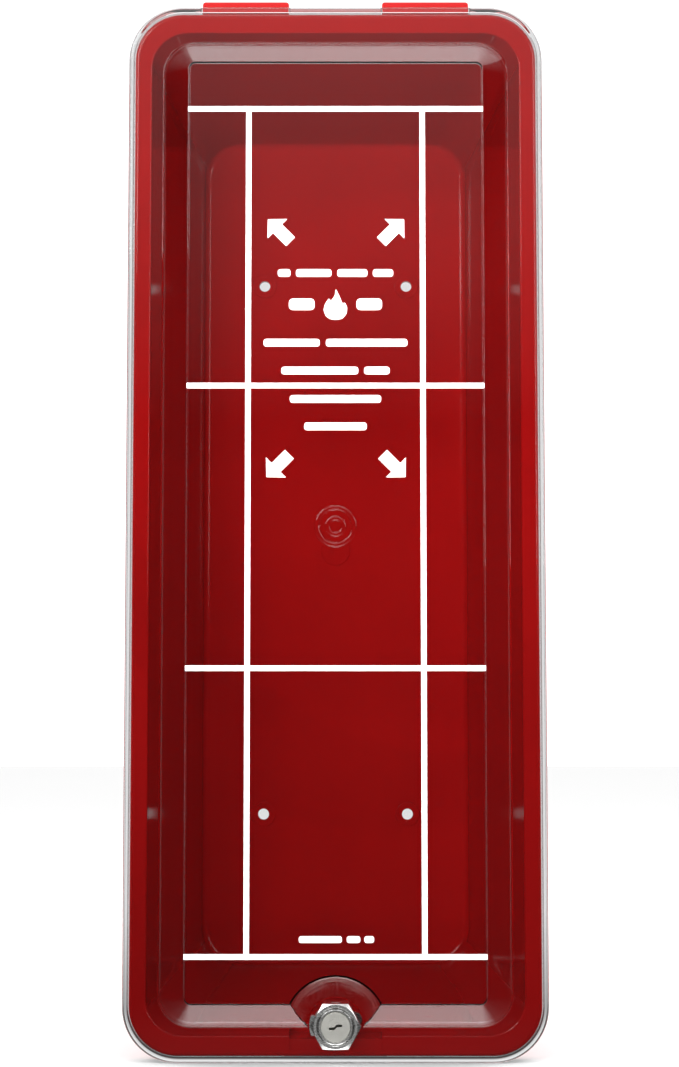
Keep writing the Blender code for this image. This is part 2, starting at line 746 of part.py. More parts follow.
def make_gasket():
    finish = material("black_rubber", (0.02, 0.02, 0.02), 0.7)
    inner = BARREL_RADIUS + FIT
    outer = SHOULDER_RADIUS
    back = GASKET_FRONT - GASKET_THICKNESS
    profile = [(inner, GASKET_FRONT), (outer, GASKET_FRONT), (outer, back), (inner, back)]
    on_lock(turned("lock_gasket", profile, finish, closed=True))


def make_barrel():
    """The lock's housing: shoulder, bore, grooves for the wafers and a rear ring that stops the turn."""
    finish = material("chromed_zinc", (0.62, 0.63, 0.64), 0.22, 1.0)
    edge = BARREL_EDGE
    counterbore = PLUG_FACE_RADIUS + FIT
    counterbore_floor = PLUG_FACE_BACK - FIT
    ring_back = BARREL_BACK - REAR_RING_LENGTH
    shoulder_back = SHOULDER_FRONT - SHOULDER_THICKNESS
    profile = [
        (counterbore, BARREL_FRONT),
        (BARREL_RADIUS - edge, BARREL_FRONT),
        (BARREL_RADIUS, BARREL_FRONT - edge),
        (BARREL_RADIUS, SHOULDER_FRONT),
        (SHOULDER_RADIUS, SHOULDER_FRONT),
        (SHOULDER_RADIUS, shoulder_back),
        (BARREL_RADIUS, shoulder_back),
        (BARREL_RADIUS, ring_back),
        (REAR_RING_INNER, ring_back),
        (REAR_RING_INNER, BARREL_BACK),
        (BORE_RADIUS, BARREL_BACK),
        (BORE_RADIUS, counterbore_floor),
        (counterbore, counterbore_floor),
    ]
    barrel = on_lock(turned("lock_barrel", profile, finish, closed=True))

    made = bmesh.new()
    wide = 2 * BARREL_RADIUS
    for side in (-1, 1):
        near, far = side * BARREL_FLAT, side * wide
        outline = [(-wide, near), (wide, near), (wide, far), (-wide, far)]
        add_prism(made, outline, SHOULDER_FRONT + SPOT_FACE, 2 * BARREL_FRONT)
    cut(barrel, on_lock(add_object("barrel_flats", made)))

    groove_radius = BARREL_RADIUS - GROOVE_WALL
    half = WAFER_HALF_HEIGHT + 1.5 * FIT
    front = FIRST_WAFER + WAFER_PITCH / 2
    back = FIRST_WAFER - (WAFER_COUNT - 0.5) * WAFER_PITCH
    level = [(-groove_radius, -half), (groove_radius, -half), (groove_radius, half), (-groove_radius, half)]
    upright = [(second, first) for first, second in level]
    cut(barrel, on_lock(prism("level_grooves", level, back, front)))
    cut(barrel, on_lock(prism("upright_grooves", upright, back, front)))

    clearance = STOP_TAB_ANGLE + STOP_CLEARANCE_ANGLE
    arc = cylinder_outline(2 * BARREL_RADIUS, 90 - TURN_ANGLE - clearance, 90 + clearance, 6)
    wedge = prism("stop_gap", arc + [(0.0, 0.0)], ring_back - REAR_RING_LENGTH, BARREL_BACK - SPOT_FACE)
    cut(barrel, on_lock(wedge))


def key_slot_outline():
    """A key slot that steps up once in the middle, of one stroke width."""
    half = KEY_SLOT_LENGTH / 2
    rise = KEY_SLOT_STEP / 2
    stroke = KEY_SLOT_STROKE / 2
    lean = KEY_SLOT_LEAN
    upper = [
        (half, rise + stroke),
        (lean, rise + stroke),
        (-lean - stroke, stroke - rise),
        (-half, stroke - rise),
    ]
    lower = [(-x, -y) for x, y in upper]
    return upper + lower


def wafer_sides():
    """For each wafer, its place along the axis and the side it springs out to."""
    return [(FIRST_WAFER - index * WAFER_PITCH, 1 if index % 2 == 0 else -1) for index in range(WAFER_COUNT)]


def spring_height():
    return WAFER_HALF_HEIGHT - SPRING_RADIUS - SPRING_WIRE


def notch_floor():
    """Height in a wafer of the notch that holds its spring."""
    return spring_height() - SPRING_RADIUS - SPRING_WIRE - FIT / 3


def make_plug():
    """The turning core: a stippled face, a keyed body with wafer slots, a square shank and a stud."""
    finish = material("satin_zinc", (0.55, 0.55, 0.56), 0.35, 1.0)
    groove = PLUG_RADIUS - CLIP_GROOVE
    profile = [
        (0.0, PLUG_FACE_FRONT),
        (PLUG_FACE_RADIUS, PLUG_FACE_FRONT),
        (PLUG_FACE_RADIUS, PLUG_FACE_BACK),
        (PLUG_RADIUS, PLUG_FACE_BACK),
        (PLUG_RADIUS, CLIP_FRONT + FIT / 2),
        (groove, CLIP_FRONT + FIT / 2),
        (groove, CLIP_BACK - FIT / 2),
        (PLUG_RADIUS, CLIP_BACK - FIT / 2),
        (PLUG_RADIUS, PLUG_BACK),
        (STUD_RADIUS, PLUG_BACK),
        (STUD_RADIUS, STUD_BACK),
        (0.0, STUD_BACK),
    ]
    plug = on_lock(turned("lock_plug", profile, finish))
    half = SHANK_SIDE / 2
    square = [(-half, -half), (half, -half), (half, half), (-half, half)]
    join(plug, on_lock(prism("square_shank", square, CAM_BACK, PLUG_BACK + CLIP_THICKNESS / 3)))

    slots = bmesh.new()
    reach = PLUG_RADIUS + PLUG_RUNNING_FIT
    high = WAFER_HALF_HEIGHT + FIT
    post = SPRING_LENGTH / 2 + FIT / 2
    for place, side in wafer_sides():
        outline = [
            (-reach, -high),
            (reach, -high),
            (reach, high),
            (-post, high),
            (-post, notch_floor() + FIT),
            (-post - POST_WIDTH, notch_floor() + FIT),
            (-post - POST_WIDTH, high),
            (-reach, high),
        ]
        outline = [(side * x, y) for x, y in outline]
        thick = WAFER_THICKNESS / 2 + FIT
        add_prism(slots, outline, place - thick, place + thick)
    cut(plug, on_lock(add_object("wafer_slots", slots)))
    back = FIRST_WAFER - WAFER_COUNT * WAFER_PITCH
    cut(plug, on_lock(prism("key_slot", key_slot_outline(), back, 2 * PLUG_FACE_FRONT)))


def make_wafers():
    """Thin plates that cross the plug. Each has a window for the key and a notch for its spring."""
    finish = material("brass", (0.60, 0.42, 0.14), 0.3, 1.0)
    reach = math.degrees(math.asin(WAFER_HALF_HEIGHT / WAFER_END_RADIUS))
    half_window = KEY_SLOT_LENGTH / 2 + FIT / 2
    tall = WINDOW_HALF_HEIGHT
    window = [(-half_window, -tall), (half_window, -tall), (half_window, tall), (-half_window, tall)]
    window_cutter = on_lock(prism("wafer_windows", window, -BARREL_BEHIND, BARREL_BEHIND))
    post = SPRING_LENGTH / 2 + FIT / 2
    notch_left = -post - POST_WIDTH - FIT - WAFER_TRAVEL
    notch_right = SPRING_LENGTH / 2 + FIT
    for index, (place, side) in enumerate(wafer_sides()):
        right = cylinder_outline(WAFER_END_RADIUS, -reach, reach, 5)
        left = cylinder_outline(WAFER_END_RADIUS, 180 - reach, 180 + reach, 5)
        notch = [
            (notch_right, WAFER_HALF_HEIGHT),
            (notch_right, notch_floor()),
            (notch_left, notch_floor()),
            (notch_left, WAFER_HALF_HEIGHT),
        ]
        outline = [(side * x, y) for x, y in right + notch + left]
        low = place - WAFER_THICKNESS / 2
        wafer = prism(f"wafer_{index + 1}", outline, low, low + WAFER_THICKNESS, finish)
        cut(on_lock(wafer), window_cutter)


def make_wafer_springs():
    """One coil spring for each wafer, between a post in the plug and the end of the wafer's notch."""
    finish = material("spring_steel", (0.45, 0.46, 0.48), 0.25, 1.0)
    per_turn = 8
    for index, (place, side) in enumerate(wafer_sides()):
        curve = bpy.data.curves.new(f"wafer_spring_{index + 1}", "CURVE")
        curve.dimensions = "3D"
        curve.bevel_depth = SPRING_WIRE
        curve.bevel_resolution = 1
        curve.use_fill_caps = True
        spline = curve.splines.new("POLY")
        count = SPRING_TURNS * per_turn + 1
        spline.points.add(count - 1)
        for step in range(count):
            angle = 2 * math.pi * step / per_turn
            along = (step / (count - 1) - 0.5) * (SPRING_LENGTH - 2 * SPRING_WIRE)
            # The coil lies across the wafer's slot, so it is flattened to the slot's thickness.
            deep = place + EASED * SPRING_RADIUS * math.sin(angle)
            height = spring_height() + SPRING_RADIUS * math.cos(angle)
            spline.points[step].co = (side * along, height, deep, 1.0)
        spring = bpy.data.objects.new(f"wafer_spring_{index + 1}", curve)
        curve.materials.append(finish)
        CABINET.objects.link(spring)
        on_lock(spring)


def make_plug_clip(finish):
    """An open ring that snaps into the plug's groove behind the barrel."""
    gap = CLIP_GAP_ANGLE / 2
    inner = PLUG_RADIUS - CLIP_GROOVE + EASED * FIT
    outer_arc = cylinder_outline(CLIP_RADIUS, -90 + gap, 270 - gap)
    inner_arc = cylinder_outline(inner, -90 + gap, 270 - gap)
    on_lock(prism("plug_clip", outer_arc + inner_arc[::-1], CLIP_BACK, CLIP_FRONT, finish))


def square_hole():
    half = SHANK_SIDE / 2 + FIT
    return [(-half, -half), (half, -half), (half, half), (-half, half)]


def make_stop_washer(finish):
    """A disc on the square shank. Its tab swings between the ends of the barrel's rear ring."""
    outline = []
    for step in range(2 * ROUND_STEPS):
        degrees = 360 * step / (2 * ROUND_STEPS)
        on_tab = abs(degrees - 90) <= STOP_TAB_ANGLE
        radius = STOP_TAB_RADIUS if on_tab else CLIP_RADIUS
        outline.append((radius * math.cos(math.radians(degrees)), radius * math.sin(math.radians(degrees))))
    washer = on_lock(prism("stop_washer", outline, STOP_BACK, STOP_FRONT, finish))
    cut(washer, on_lock(prism("stop_washer_hole", square_hole(), STOP_BACK - FIT, STOP_FRONT + FIT)))


def make_cam(finish):
    """The arm that catches behind the strike. It reaches to the right while the lock is open."""
    tip_middle = CAM_REACH - CAM_TIP_RADIUS
    lean = math.degrees(math.acos((CAM_PIVOT_RADIUS - CAM_TIP_RADIUS) / tip_middle))
    pivot = cylinder_outline(CAM_PIVOT_RADIUS, lean, 360 - lean, 18)
    tip = [(x + tip_middle, y) for x, y in cylinder_outline(CAM_TIP_RADIUS, -lean, lean, 10)]
    cam = on_lock(prism("cam", pivot + tip, CAM_BACK, CAM_FRONT, finish))
    cut(cam, on_lock(prism("cam_hole", square_hole(), CAM_BACK - FIT, CAM_FRONT + FIT)))


def make_cam_washer(finish):
    inner = STUD_RADIUS + FIT
    back = CAM_WASHER_FRONT - CAM_WASHER_THICKNESS
    outer = CAM_WASHER_RADIUS
    profile = [(inner, CAM_WASHER_FRONT), (outer, CAM_WASHER_FRONT), (outer, back), (inner, back)]
    on_lock(turned("cam_washer", profile, finish, closed=True))


def make_lock():
    chrome = material("bright_chrome", (0.80, 0.81, 0.82), 0.10, 1.0)
    zinc = material("zinc_plate", (0.55, 0.56, 0.55), 0.30, 1.0)
    make_lock_washer(chrome)
    bore = BARREL_RADIUS + FIT
    make_hex_nut("lock_nut", NUT_FLATS, bore, NUT_BACK, NUT_THICKNESS, NUT_CHAMFER, chrome)
    make_gasket()
    make_barrel()
    make_plug()
    make_wafers()
    make_wafer_springs()
    make_plug_clip(zinc)
    make_stop_washer(zinc)
    make_cam(zinc)
    make_cam_washer(zinc)
    cam_nut_back = CAM_NUT_FRONT - CAM_NUT_THICKNESS
    bore = STUD_RADIUS + FIT
    make_hex_nut("cam_nut", CAM_NUT_FLATS, bore, cam_nut_back, CAM_NUT_THICKNESS, CAM_NUT_CHAMFER, zinc)


make_tub()
make_cover()
make_lock()
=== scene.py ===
import json
import math

import bmesh
import bpy
import numpy as np
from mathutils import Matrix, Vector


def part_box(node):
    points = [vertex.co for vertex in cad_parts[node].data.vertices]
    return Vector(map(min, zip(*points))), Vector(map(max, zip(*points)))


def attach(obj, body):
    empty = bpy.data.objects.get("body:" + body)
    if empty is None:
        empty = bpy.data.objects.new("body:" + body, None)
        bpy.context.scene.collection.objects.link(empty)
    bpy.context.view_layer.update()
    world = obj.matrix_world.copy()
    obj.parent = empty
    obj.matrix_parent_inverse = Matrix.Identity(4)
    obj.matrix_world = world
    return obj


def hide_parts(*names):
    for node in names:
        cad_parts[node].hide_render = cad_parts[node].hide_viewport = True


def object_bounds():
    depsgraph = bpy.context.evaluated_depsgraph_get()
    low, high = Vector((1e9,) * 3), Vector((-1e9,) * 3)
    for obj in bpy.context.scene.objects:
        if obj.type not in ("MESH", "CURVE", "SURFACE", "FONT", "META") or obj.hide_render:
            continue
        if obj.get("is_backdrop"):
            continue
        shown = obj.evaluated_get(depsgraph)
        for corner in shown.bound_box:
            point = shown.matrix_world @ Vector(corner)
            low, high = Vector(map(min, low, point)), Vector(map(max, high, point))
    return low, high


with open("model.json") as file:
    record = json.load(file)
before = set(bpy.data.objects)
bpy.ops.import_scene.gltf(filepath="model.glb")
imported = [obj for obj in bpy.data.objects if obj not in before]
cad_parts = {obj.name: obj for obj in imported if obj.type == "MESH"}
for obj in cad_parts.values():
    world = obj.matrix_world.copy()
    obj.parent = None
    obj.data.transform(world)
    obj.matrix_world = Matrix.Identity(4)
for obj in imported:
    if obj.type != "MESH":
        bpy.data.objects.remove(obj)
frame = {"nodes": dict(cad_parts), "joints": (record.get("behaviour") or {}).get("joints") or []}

low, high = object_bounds()
cad_box = [list(low), list(high)]

# ---- Tub ----------------------------------------------------------------------------------------------
# An injection-moulded box in glossy red ABS. Its walls are drafted so that it leaves the mould, its rim
# turns back all round to stiffen it, and it is screwed to the wall through four bossed holes.
TUB_WALL = 0.0030
BACK_WALL = 0.0030
RIM_INSIDE_COVER = 0.0035
RIM_FLANGE = 0.0093
RIM_END_FLANGE = 0.0110
RIM_WALL = 0.0026
RIM_LIP = 0.0140
RIM_CORNER = 0.0265
RIM_EDGE_ROUND = 0.0025
OPENING_CORNER = 0.0200
OPENING_EDGE_ROUND = 0.0010
BACK_CORNER = 0.0218
BACK_FILLET = 0.0045
BACK_BORDER = 0.0120
LIP_ROUND = 0.0006
ROOT_ROUND = 0.0008
SIDE_DRAFT = 0.0210
END_DRAFT = 0.0198
HOLE_PITCH = (0.0889, 0.3302)
HOLE_RADIUS = 0.00335
BOSS_RADIUS = 0.0075
BOSS_HEIGHT = 0.0008
BOSS_EDGE_ROUND = 0.0005
BOSS_BORDER = 0.0040
CENTRE_BOSS_RADIUS = 0.0090
CENTRE_BOSS_HEIGHT = 0.0012
CENTRE_BOSS_DROP = 0.0022
CENTRE_BOSS_EDGE_ROUND = 0.0006
PILOT_RADIUS = 0.0030
PILOT_DEPTH = 0.0022
PAST_FACE = 0.0040
TAB_WIDTH = 0.0485
TAB_PITCH = 0.1008
TAB_THICKNESS = 0.0030
TAB_CORNER = 0.0020
TAB_AHEAD_OF_HINGE = 0.0021
HOOK_GAP = 0.0014
HOOK_REACH = 0.00285
POCKET_WIDTH = 0.0500
STRIKE_WALL = 0.0030
LEAD_IN_DEPTH = 0.0016
LEAD_IN_HEIGHT = 0.0060
STRIKE_ABOVE_RIM = 0.0005
POCKET_BELOW_LOCK = 0.0076
POCKET_ROUND = 0.0010
CAM_CLEARANCE = 0.0007
CAM_SWEEP = 0.0145
CAM_SLOT_FLOOR = -0.2915
BARREL_NOTCH_RADIUS = 0.0105
SHOULDER_NOTCH_RADIUS = 0.0123
SHOULDER_NOTCH_DEPTH = 0.0064
PANEL_RISE = 0.0120
RING_HEIGHT = 0.0007
ABS_RED = (0.360, 0.0040, 0.0040, 1.0)
ABS_RED_DEEP = (0.325, 0.0032, 0.0034, 1.0)

tub_low, tub_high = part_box("tub")
cover_low, cover_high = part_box("cover")
LOCK_Z = sum(corner.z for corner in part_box("lock_nut")) / 2
RIM_HALF = (cover_high.x - RIM_INSIDE_COVER, -cover_low.z - RIM_INSIDE_COVER)
RIM_Y = tub_low.y
OPENING_HALF = (RIM_HALF[0] - RIM_FLANGE, RIM_HALF[1] - RIM_END_FLANGE)
BACK_HALF = (OPENING_HALF[0] - SIDE_DRAFT, OPENING_HALF[1] - END_DRAFT)


def softened(corners, lengths, closed=False, steps=8, lead=0.0003):
    """Rounds every corner P of a chain of points. With A and B on its two legs at the length given, the
    round is (1-t)^2 A + 2t(1-t) P + t^2 B. A lead point before A and after B keeps the flats flat."""
    corners = np.asarray(corners, float)
    lengths = np.broadcast_to(np.asarray(lengths, float), len(corners))[:, None]
    across_and_depth = [0, min(3, corners.shape[1] - 1)]
    legs = []
    for step in (1, -1):
        run = np.roll(corners, step, axis=0) - corners
        legs.append(run / np.linalg.norm(run[:, across_and_depth], axis=1, keepdims=True))
    t = np.linspace(0, 1, steps + 1)[None, :, None]
    start, end = corners + lengths * legs[0], corners + lengths * legs[1]
    arcs = (1 - t) ** 2 * start[:, None] + 2 * t * (1 - t) * corners[:, None] + t**2 * end[:, None]
    leads = start + lead * legs[0], end + lead * legs[1]
    arcs = np.concatenate([leads[0][:, None], arcs, leads[1][:, None]], axis=1)
    if closed:
        return arcs.reshape(-1, corners.shape[1])
    inner = arcs[1:-1].reshape(-1, corners.shape[1])
    return np.vstack([corners[:1], inner, corners[-1:]])


def rounded_rings(stations, steps=20, lead=0.0015):
    """A rounded rectangle at every station (half width a, half height b, corner r, depth y):
    x = +-(a - r) + r cos t, z = +-(b - r) + r sin t, with t right round once. A lead point on the straight
    before and after each corner keeps the straights flat. A fifth value moves the lower half down."""
    a, b, r, y, *lower = np.asarray(stations, float).T[:, :, None]
    turn = np.concatenate([[0], np.linspace(0, 90, steps + 1), [90]])
    slide = np.concatenate([[-lead], np.zeros(steps + 1), [lead]])
    t = (np.radians([0, 90, 180, 270])[:, None] + np.radians(turn)).ravel()
    slide = np.tile(slide, 4)
    side = np.repeat([1, -1, -1, 1], steps + 3)
    up = np.repeat([1, 1, -1, -1], steps + 3)
    x = side * (a - r) + r * np.cos(t) - slide * np.sin(t)
    z = up * (b - r) + r * np.sin(t) + slide * np.cos(t)
    if lower:
        z = z - lower[0] * (z < 0)
    return np.stack([x, y + 0 * x, z], axis=-1)


def turned_rings(profile, middle, steps=72):
    """A profile of (radius, y) turned about a line along Y through middle: x = mx + radius cos t,
    z = mz + radius sin t."""
    radius, y = np.asarray(profile, float).T[:, :, None]
    t = np.radians(np.arange(steps) * 360 / steps)
    x = middle[0] + radius * np.cos(t)
    return np.stack([x, y + 0 * x, middle[1] + radius * np.sin(t)], axis=-1)


def extruded_rings(outline, places, axis):
    """A flat outline repeated at each place along one axis."""
    outline = np.asarray(outline, float)
    places = np.asarray(places, float)
    grid = np.zeros((len(places), len(outline), 3))
    others = [index for index in range(3) if index != axis]
    grid[:, :, others[0]] = outline[:, 0]
    grid[:, :, others[1]] = outline[:, 1]
    grid[:, :, axis] = places[:, None]
    return grid


def solid(name, grid, finish=None, loop=False, sharp=32):
    """A grid of points (rings, around) as a closed mesh. Rings close on themselves. A loop joins the last
    ring to the first, as on a washer. Otherwise the first and the last ring are filled."""
    rings, around = grid.shape[:2]
    number = np.arange(rings * around).reshape(rings, around)
    near = number if loop else number[:-1]
    far = np.roll(number, -1, axis=0) if loop else number[1:]
    faces = np.stack([near, np.roll(near, -1, 1), np.roll(far, -1, 1), far], axis=-1).reshape(-1, 4).tolist()
    if not loop:
        faces += [number[0].tolist(), number[-1].tolist()]
    mesh = bpy.data.meshes.new(name)
    mesh.from_pydata(grid.reshape(-1, 3), [], faces)
    piece = bpy.data.objects.new(name, mesh)
    bpy.context.scene.collection.objects.link(piece)
    if finish is not None:
        mesh.materials.append(finish)
    return tidied(piece, sharp)


def tidied(piece, sharp=32):
    """Merges doubles, turns the faces outwards and shades smooth up to an angle in degrees."""
    made = bmesh.new()
    made.from_mesh(piece.data)
    bmesh.ops.remove_doubles(made, verts=made.verts, dist=1e-7)
    bmesh.ops.dissolve_degenerate(made, edges=made.edges, dist=1e-7)
    bmesh.ops.recalc_face_normals(made, faces=made.faces)
    made.to_mesh(piece.data)
    made.free()
    piece.data.shade_smooth()
    piece.data.set_sharp_from_angle(angle=math.radians(sharp))
    return piece


def worked(piece, changes, sharp=32):
    """Joins or cuts each helper in turn, keeps the result as the piece's mesh and removes the helpers."""
    for operation, other in changes:
        change = piece.modifiers.new(other.name, "BOOLEAN")
        change.operation = operation
        change.solver = "EXACT"
        change.object = other
    graph = bpy.context.evaluated_depsgraph_get()
    mesh = bpy.data.meshes.new_from_object(piece.evaluated_get(graph))
    mesh.name = piece.name
    piece.modifiers.clear()
    piece.data = mesh
    for _, other in changes:
        bpy.data.objects.remove(other, do_unlink=True)
    return tidied(piece, sharp)


def block(name, lowest, highest, round_edge=0.0004):
    """A box between two corners whose upright edges (along Y) are rounded."""
    (x0, y0, z0), (x1, y1, z1) = lowest, highest
    outline = softened([(x0, z0), (x1, z0), (x1, z1), (x0, z1)], round_edge, closed=True, steps=4)
    return solid(name, extruded_rings(outline, [y0, y1], axis=1))


def node(tree, kind, settings=None, **inputs):
    """Adds a shader node. An input is a number, a colour or a socket to link. An underscore is a space."""
    made = tree.nodes.new("ShaderNode" + kind)
    for key, value in (settings or {}).items():
        setattr(made, key, value)
    for key, value in inputs.items():
        socket = made.inputs[int(key[1:])] if key[1:].isdigit() else made.inputs[key.replace("_", " ")]
        if isinstance(value, bpy.types.NodeSocket):
            tree.links.new(value, socket)
        else:
            socket.default_value = value
    return made


def new_finish(name):
    """An empty Principled material: the material, its tree, its shader and its object coordinates."""
    made = bpy.data.materials.new(name)
    made.use_nodes = True
    tree = made.node_tree
    place = node(tree, "TexCoord").outputs["Object"]
    return made, tree, tree.nodes["Principled BSDF"], place


def stretched(tree, place, scale):
    return node(tree, "Mapping", Vector=place, Scale=scale).outputs["Vector"]


def noise(tree, place, scale, detail=2.0, rough=0.5):
    made = node(tree, "TexNoise", Vector=place, Scale=scale, Detail=detail, Roughness=rough)
    return made.outputs["Fac"]


def ranged(tree, value, low_in, high_in, low_out, high_out):
    """Maps a value linearly from one range to another and clamps it."""
    made = node(tree, "MapRange", _0=value, _1=low_in, _2=high_in, _3=low_out, _4=high_out)
    return made.outputs["Result"]


def bumped(tree, height, distance, strength=1.0, normal=None):
    made = node(tree, "Bump", Height=height, Distance=distance, Strength=strength)
    if normal is not None:
        tree.links.new(normal, made.inputs["Normal"])
    return made.outputs["Normal"]


def two_toned(tree, pattern, low_in, high_in, one, other):
    """A colour that goes from one to the other as a pattern goes from its low to its high value."""
    share = ranged(tree, pattern, low_in, high_in, 0.0, 1.0)
    return node(tree, "Mix", {"data_type": "RGBA"}, Factor=share, _6=one, _7=other).outputs[2]


def red_abs():
    """Glossy moulded ABS: a faint orange peel and fine grain in the height, hazy rub marks in the
    roughness."""
    made, tree, shader, place = new_finish("Red ABS, glossy")
    drift = noise(tree, place, 9.0, 3.0)
    colour = two_toned(tree, drift, 0.35, 0.65, ABS_RED, ABS_RED_DEEP)
    tree.links.new(colour, shader.inputs["Base Color"])
    rubs = noise(tree, stretched(tree, place, (40.0, 40.0, 7.0)), 1.0, 5.0, 0.65)
    tree.links.new(ranged(tree, rubs, 0.42, 0.72, 0.10, 0.19), shader.inputs["Roughness"])
    peel = bumped(tree, noise(tree, place, 60.0, 1.0), 0.00004, 0.25)
    grain = bumped(tree, noise(tree, place, 1500.0, 2.0), 0.000004, 0.3, peel)
    tree.links.new(grain, shader.inputs["Normal"])
    shader.inputs["IOR"].default_value = 1.53
    return made


RED_ABS = red_abs()
tub_stations = softened(
    [
        (BACK_HALF[0] - BACK_BORDER, BACK_HALF[1] - BACK_BORDER, BACK_CORNER - BACK_BORDER, -BACK_WALL),
        (BACK_HALF[0], BACK_HALF[1], BACK_CORNER, -BACK_WALL),
        (OPENING_HALF[0], OPENING_HALF[1], OPENING_CORNER, RIM_Y),
        (RIM_HALF[0], RIM_HALF[1], RIM_CORNER, RIM_Y),
        (RIM_HALF[0], RIM_HALF[1], RIM_CORNER, RIM_Y + RIM_LIP),
        (RIM_HALF[0] - RIM_WALL, RIM_HALF[1] - RIM_WALL, RIM_CORNER - RIM_WALL, RIM_Y + RIM_LIP),
        (RIM_HALF[0] - RIM_WALL, RIM_HALF[1] - RIM_WALL, RIM_CORNER - RIM_WALL, RIM_Y + TUB_WALL),
        (OPENING_HALF[0] + TUB_WALL, OPENING_HALF[1] + TUB_WALL, OPENING_CORNER + TUB_WALL, RIM_Y + TUB_WALL),
        (BACK_HALF[0] + TUB_WALL, BACK_HALF[1] + TUB_WALL, BACK_CORNER + TUB_WALL, 0.0),
        (BACK_HALF[0] - BACK_BORDER, BACK_HALF[1] - BACK_BORDER, BACK_CORNER - BACK_BORDER, 0.0),
    ],
    [0, BACK_FILLET, OPENING_EDGE_ROUND, RIM_EDGE_ROUND, LIP_ROUND, LIP_ROUND]
    + [ROOT_ROUND, ROOT_ROUND, BACK_FILLET, 0],
)
tub = solid("tub_moulding", rounded_rings(tub_stations), RED_ABS)
hole_places = [(side * HOLE_PITCH[0] / 2, up * HOLE_PITCH[1] / 2) for side in (-1, 1) for up in (-1, 1)]


def boss(name, radius, height, edge_round, middle):
    """A low round boss on the back wall."""
    crown = -BACK_WALL - height
    corners = [(radius - BOSS_BORDER, crown), (radius, crown), (radius, -BACK_WALL / 2)]
    return solid(name, turned_rings(softened(corners, [0, edge_round, 0], lead=0.0001), middle))


changes = [
    ("UNION", boss("screw_boss", BOSS_RADIUS, BOSS_HEIGHT, BOSS_EDGE_ROUND, place)) for place in hole_places
]
pilot_middle = (0, -CENTRE_BOSS_DROP)
centre_boss = boss(
    "centre_boss", CENTRE_BOSS_RADIUS, CENTRE_BOSS_HEIGHT, CENTRE_BOSS_EDGE_ROUND, pilot_middle
)
changes.append(("UNION", centre_boss))

# The hook tabs stand on the rim, pass up through the cover's slots and bend back over its hinge bars.
joints = {joint["name"]: joint for joint in frame["joints"]}
HINGE_Y = joints["cover_hinge"]["pos_m"][1]
tab_rear = HINGE_Y - TAB_AHEAD_OF_HINGE
tab_front = tab_rear - TAB_THICKNESS
tab_top = tub_high.z
hook_end = tab_rear + HOOK_REACH
hook_under = cover_high.z + HOOK_GAP
for side in (-1, 1):
    outline = softened(
        [
            (tab_front, RIM_HALF[1] - RIM_WALL / 2),
            (tab_rear, RIM_HALF[1] - RIM_WALL / 2),
            (tab_rear, hook_under),
            (hook_end, hook_under),
            (hook_end, tab_top),
            (tab_front, tab_top),
        ],
        [0.0002, 0.0002, 0.0005, 0.0006, 0.0010, 0.0009],
        closed=True,
        steps=6,
        lead=0.0001,
    )
    turn = np.radians(np.linspace(0, 90, 9))
    end_run = TAB_CORNER * (1 - np.cos(turn))
    drop = TAB_CORNER * (1 - np.sin(turn))
    half = TAB_WIDTH / 2
    across = np.concatenate([-half + end_run, half - end_run[::-1]])
    fall = np.concatenate([drop, drop[::-1]])
    grid = extruded_rings(outline, side * TAB_PITCH / 2 + across, axis=0)
    grid[:, :, 2] = np.minimum(grid[:, :, 2], tab_top - fall[:, None])
    changes.append(("UNION", solid("hook_tab", grid)))
tub = worked(tub, changes)

# A thick place in the tub's floor holds the strike: a pocket behind the lock, a notch for its barrel and
# a slot that the cam turns down through.
FLANGE_Y = cover_low.y + RING_HEIGHT + PANEL_RISE
cam_low, cam_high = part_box("cam")
slot_front, slot_rear = cam_low.y - CAM_CLEARANCE, cam_high.y + CAM_CLEARANCE
pocket_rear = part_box("lock_plug")[1].y + 2 * CAM_CLEARANCE
strike_front, strike_rear = RIM_Y + TUB_WALL / 2, pocket_rear + STRIKE_WALL
slope = END_DRAFT / (-BACK_WALL - RIM_Y)
strike_top = [-OPENING_HALF[1] + (y - RIM_Y) * slope - TUB_WALL / 2 for y in (strike_front, strike_rear)]
strike_bottom = -RIM_HALF[1] + STRIKE_ABOVE_RIM
strike_half = POCKET_WIDTH / 2 + STRIKE_WALL
outline = [
    (strike_front, strike_bottom),
    (strike_rear, strike_bottom),
    (strike_rear, strike_top[1]),
    (strike_front, strike_top[0]),
]
strike = solid("strike", extruded_rings(outline, [-strike_half, strike_half], axis=0))
pocket_floor = LOCK_Z - POCKET_BELOW_LOCK
half = POCKET_WIDTH / 2
ahead = RIM_Y - TUB_WALL
pocket = block("pocket", (-half, ahead, pocket_floor), (half, pocket_rear, LOCK_Z), POCKET_ROUND)
sweep = math.sqrt(CAM_SWEEP**2 - POCKET_BELOW_LOCK**2) + CAM_CLEARANCE
slot = block("cam_slot", (-sweep, slot_front, CAM_SLOT_FLOOR), (sweep, slot_rear, pocket_floor + TUB_WALL))
profile = [(BARREL_NOTCH_RADIUS, ahead), (BARREL_NOTCH_RADIUS, slot_front + CAM_CLEARANCE)]
barrel_notch = solid("barrel_notch", turned_rings(profile, (0, LOCK_Z)))
profile = [(SHOULDER_NOTCH_RADIUS, ahead), (SHOULDER_NOTCH_RADIUS, FLANGE_Y + SHOULDER_NOTCH_DEPTH)]
shoulder_notch = solid("shoulder_notch", turned_rings(profile, (0, LOCK_Z)))
lead_edge = RIM_Y + LEAD_IN_DEPTH
lead_outline = [
    (ahead, pocket_floor + LEAD_IN_DEPTH),
    (lead_edge, pocket_floor + LEAD_IN_DEPTH),
    (lead_edge, pocket_floor),
    (RIM_Y, pocket_floor - LEAD_IN_HEIGHT),
    (ahead, pocket_floor - LEAD_IN_HEIGHT),
]
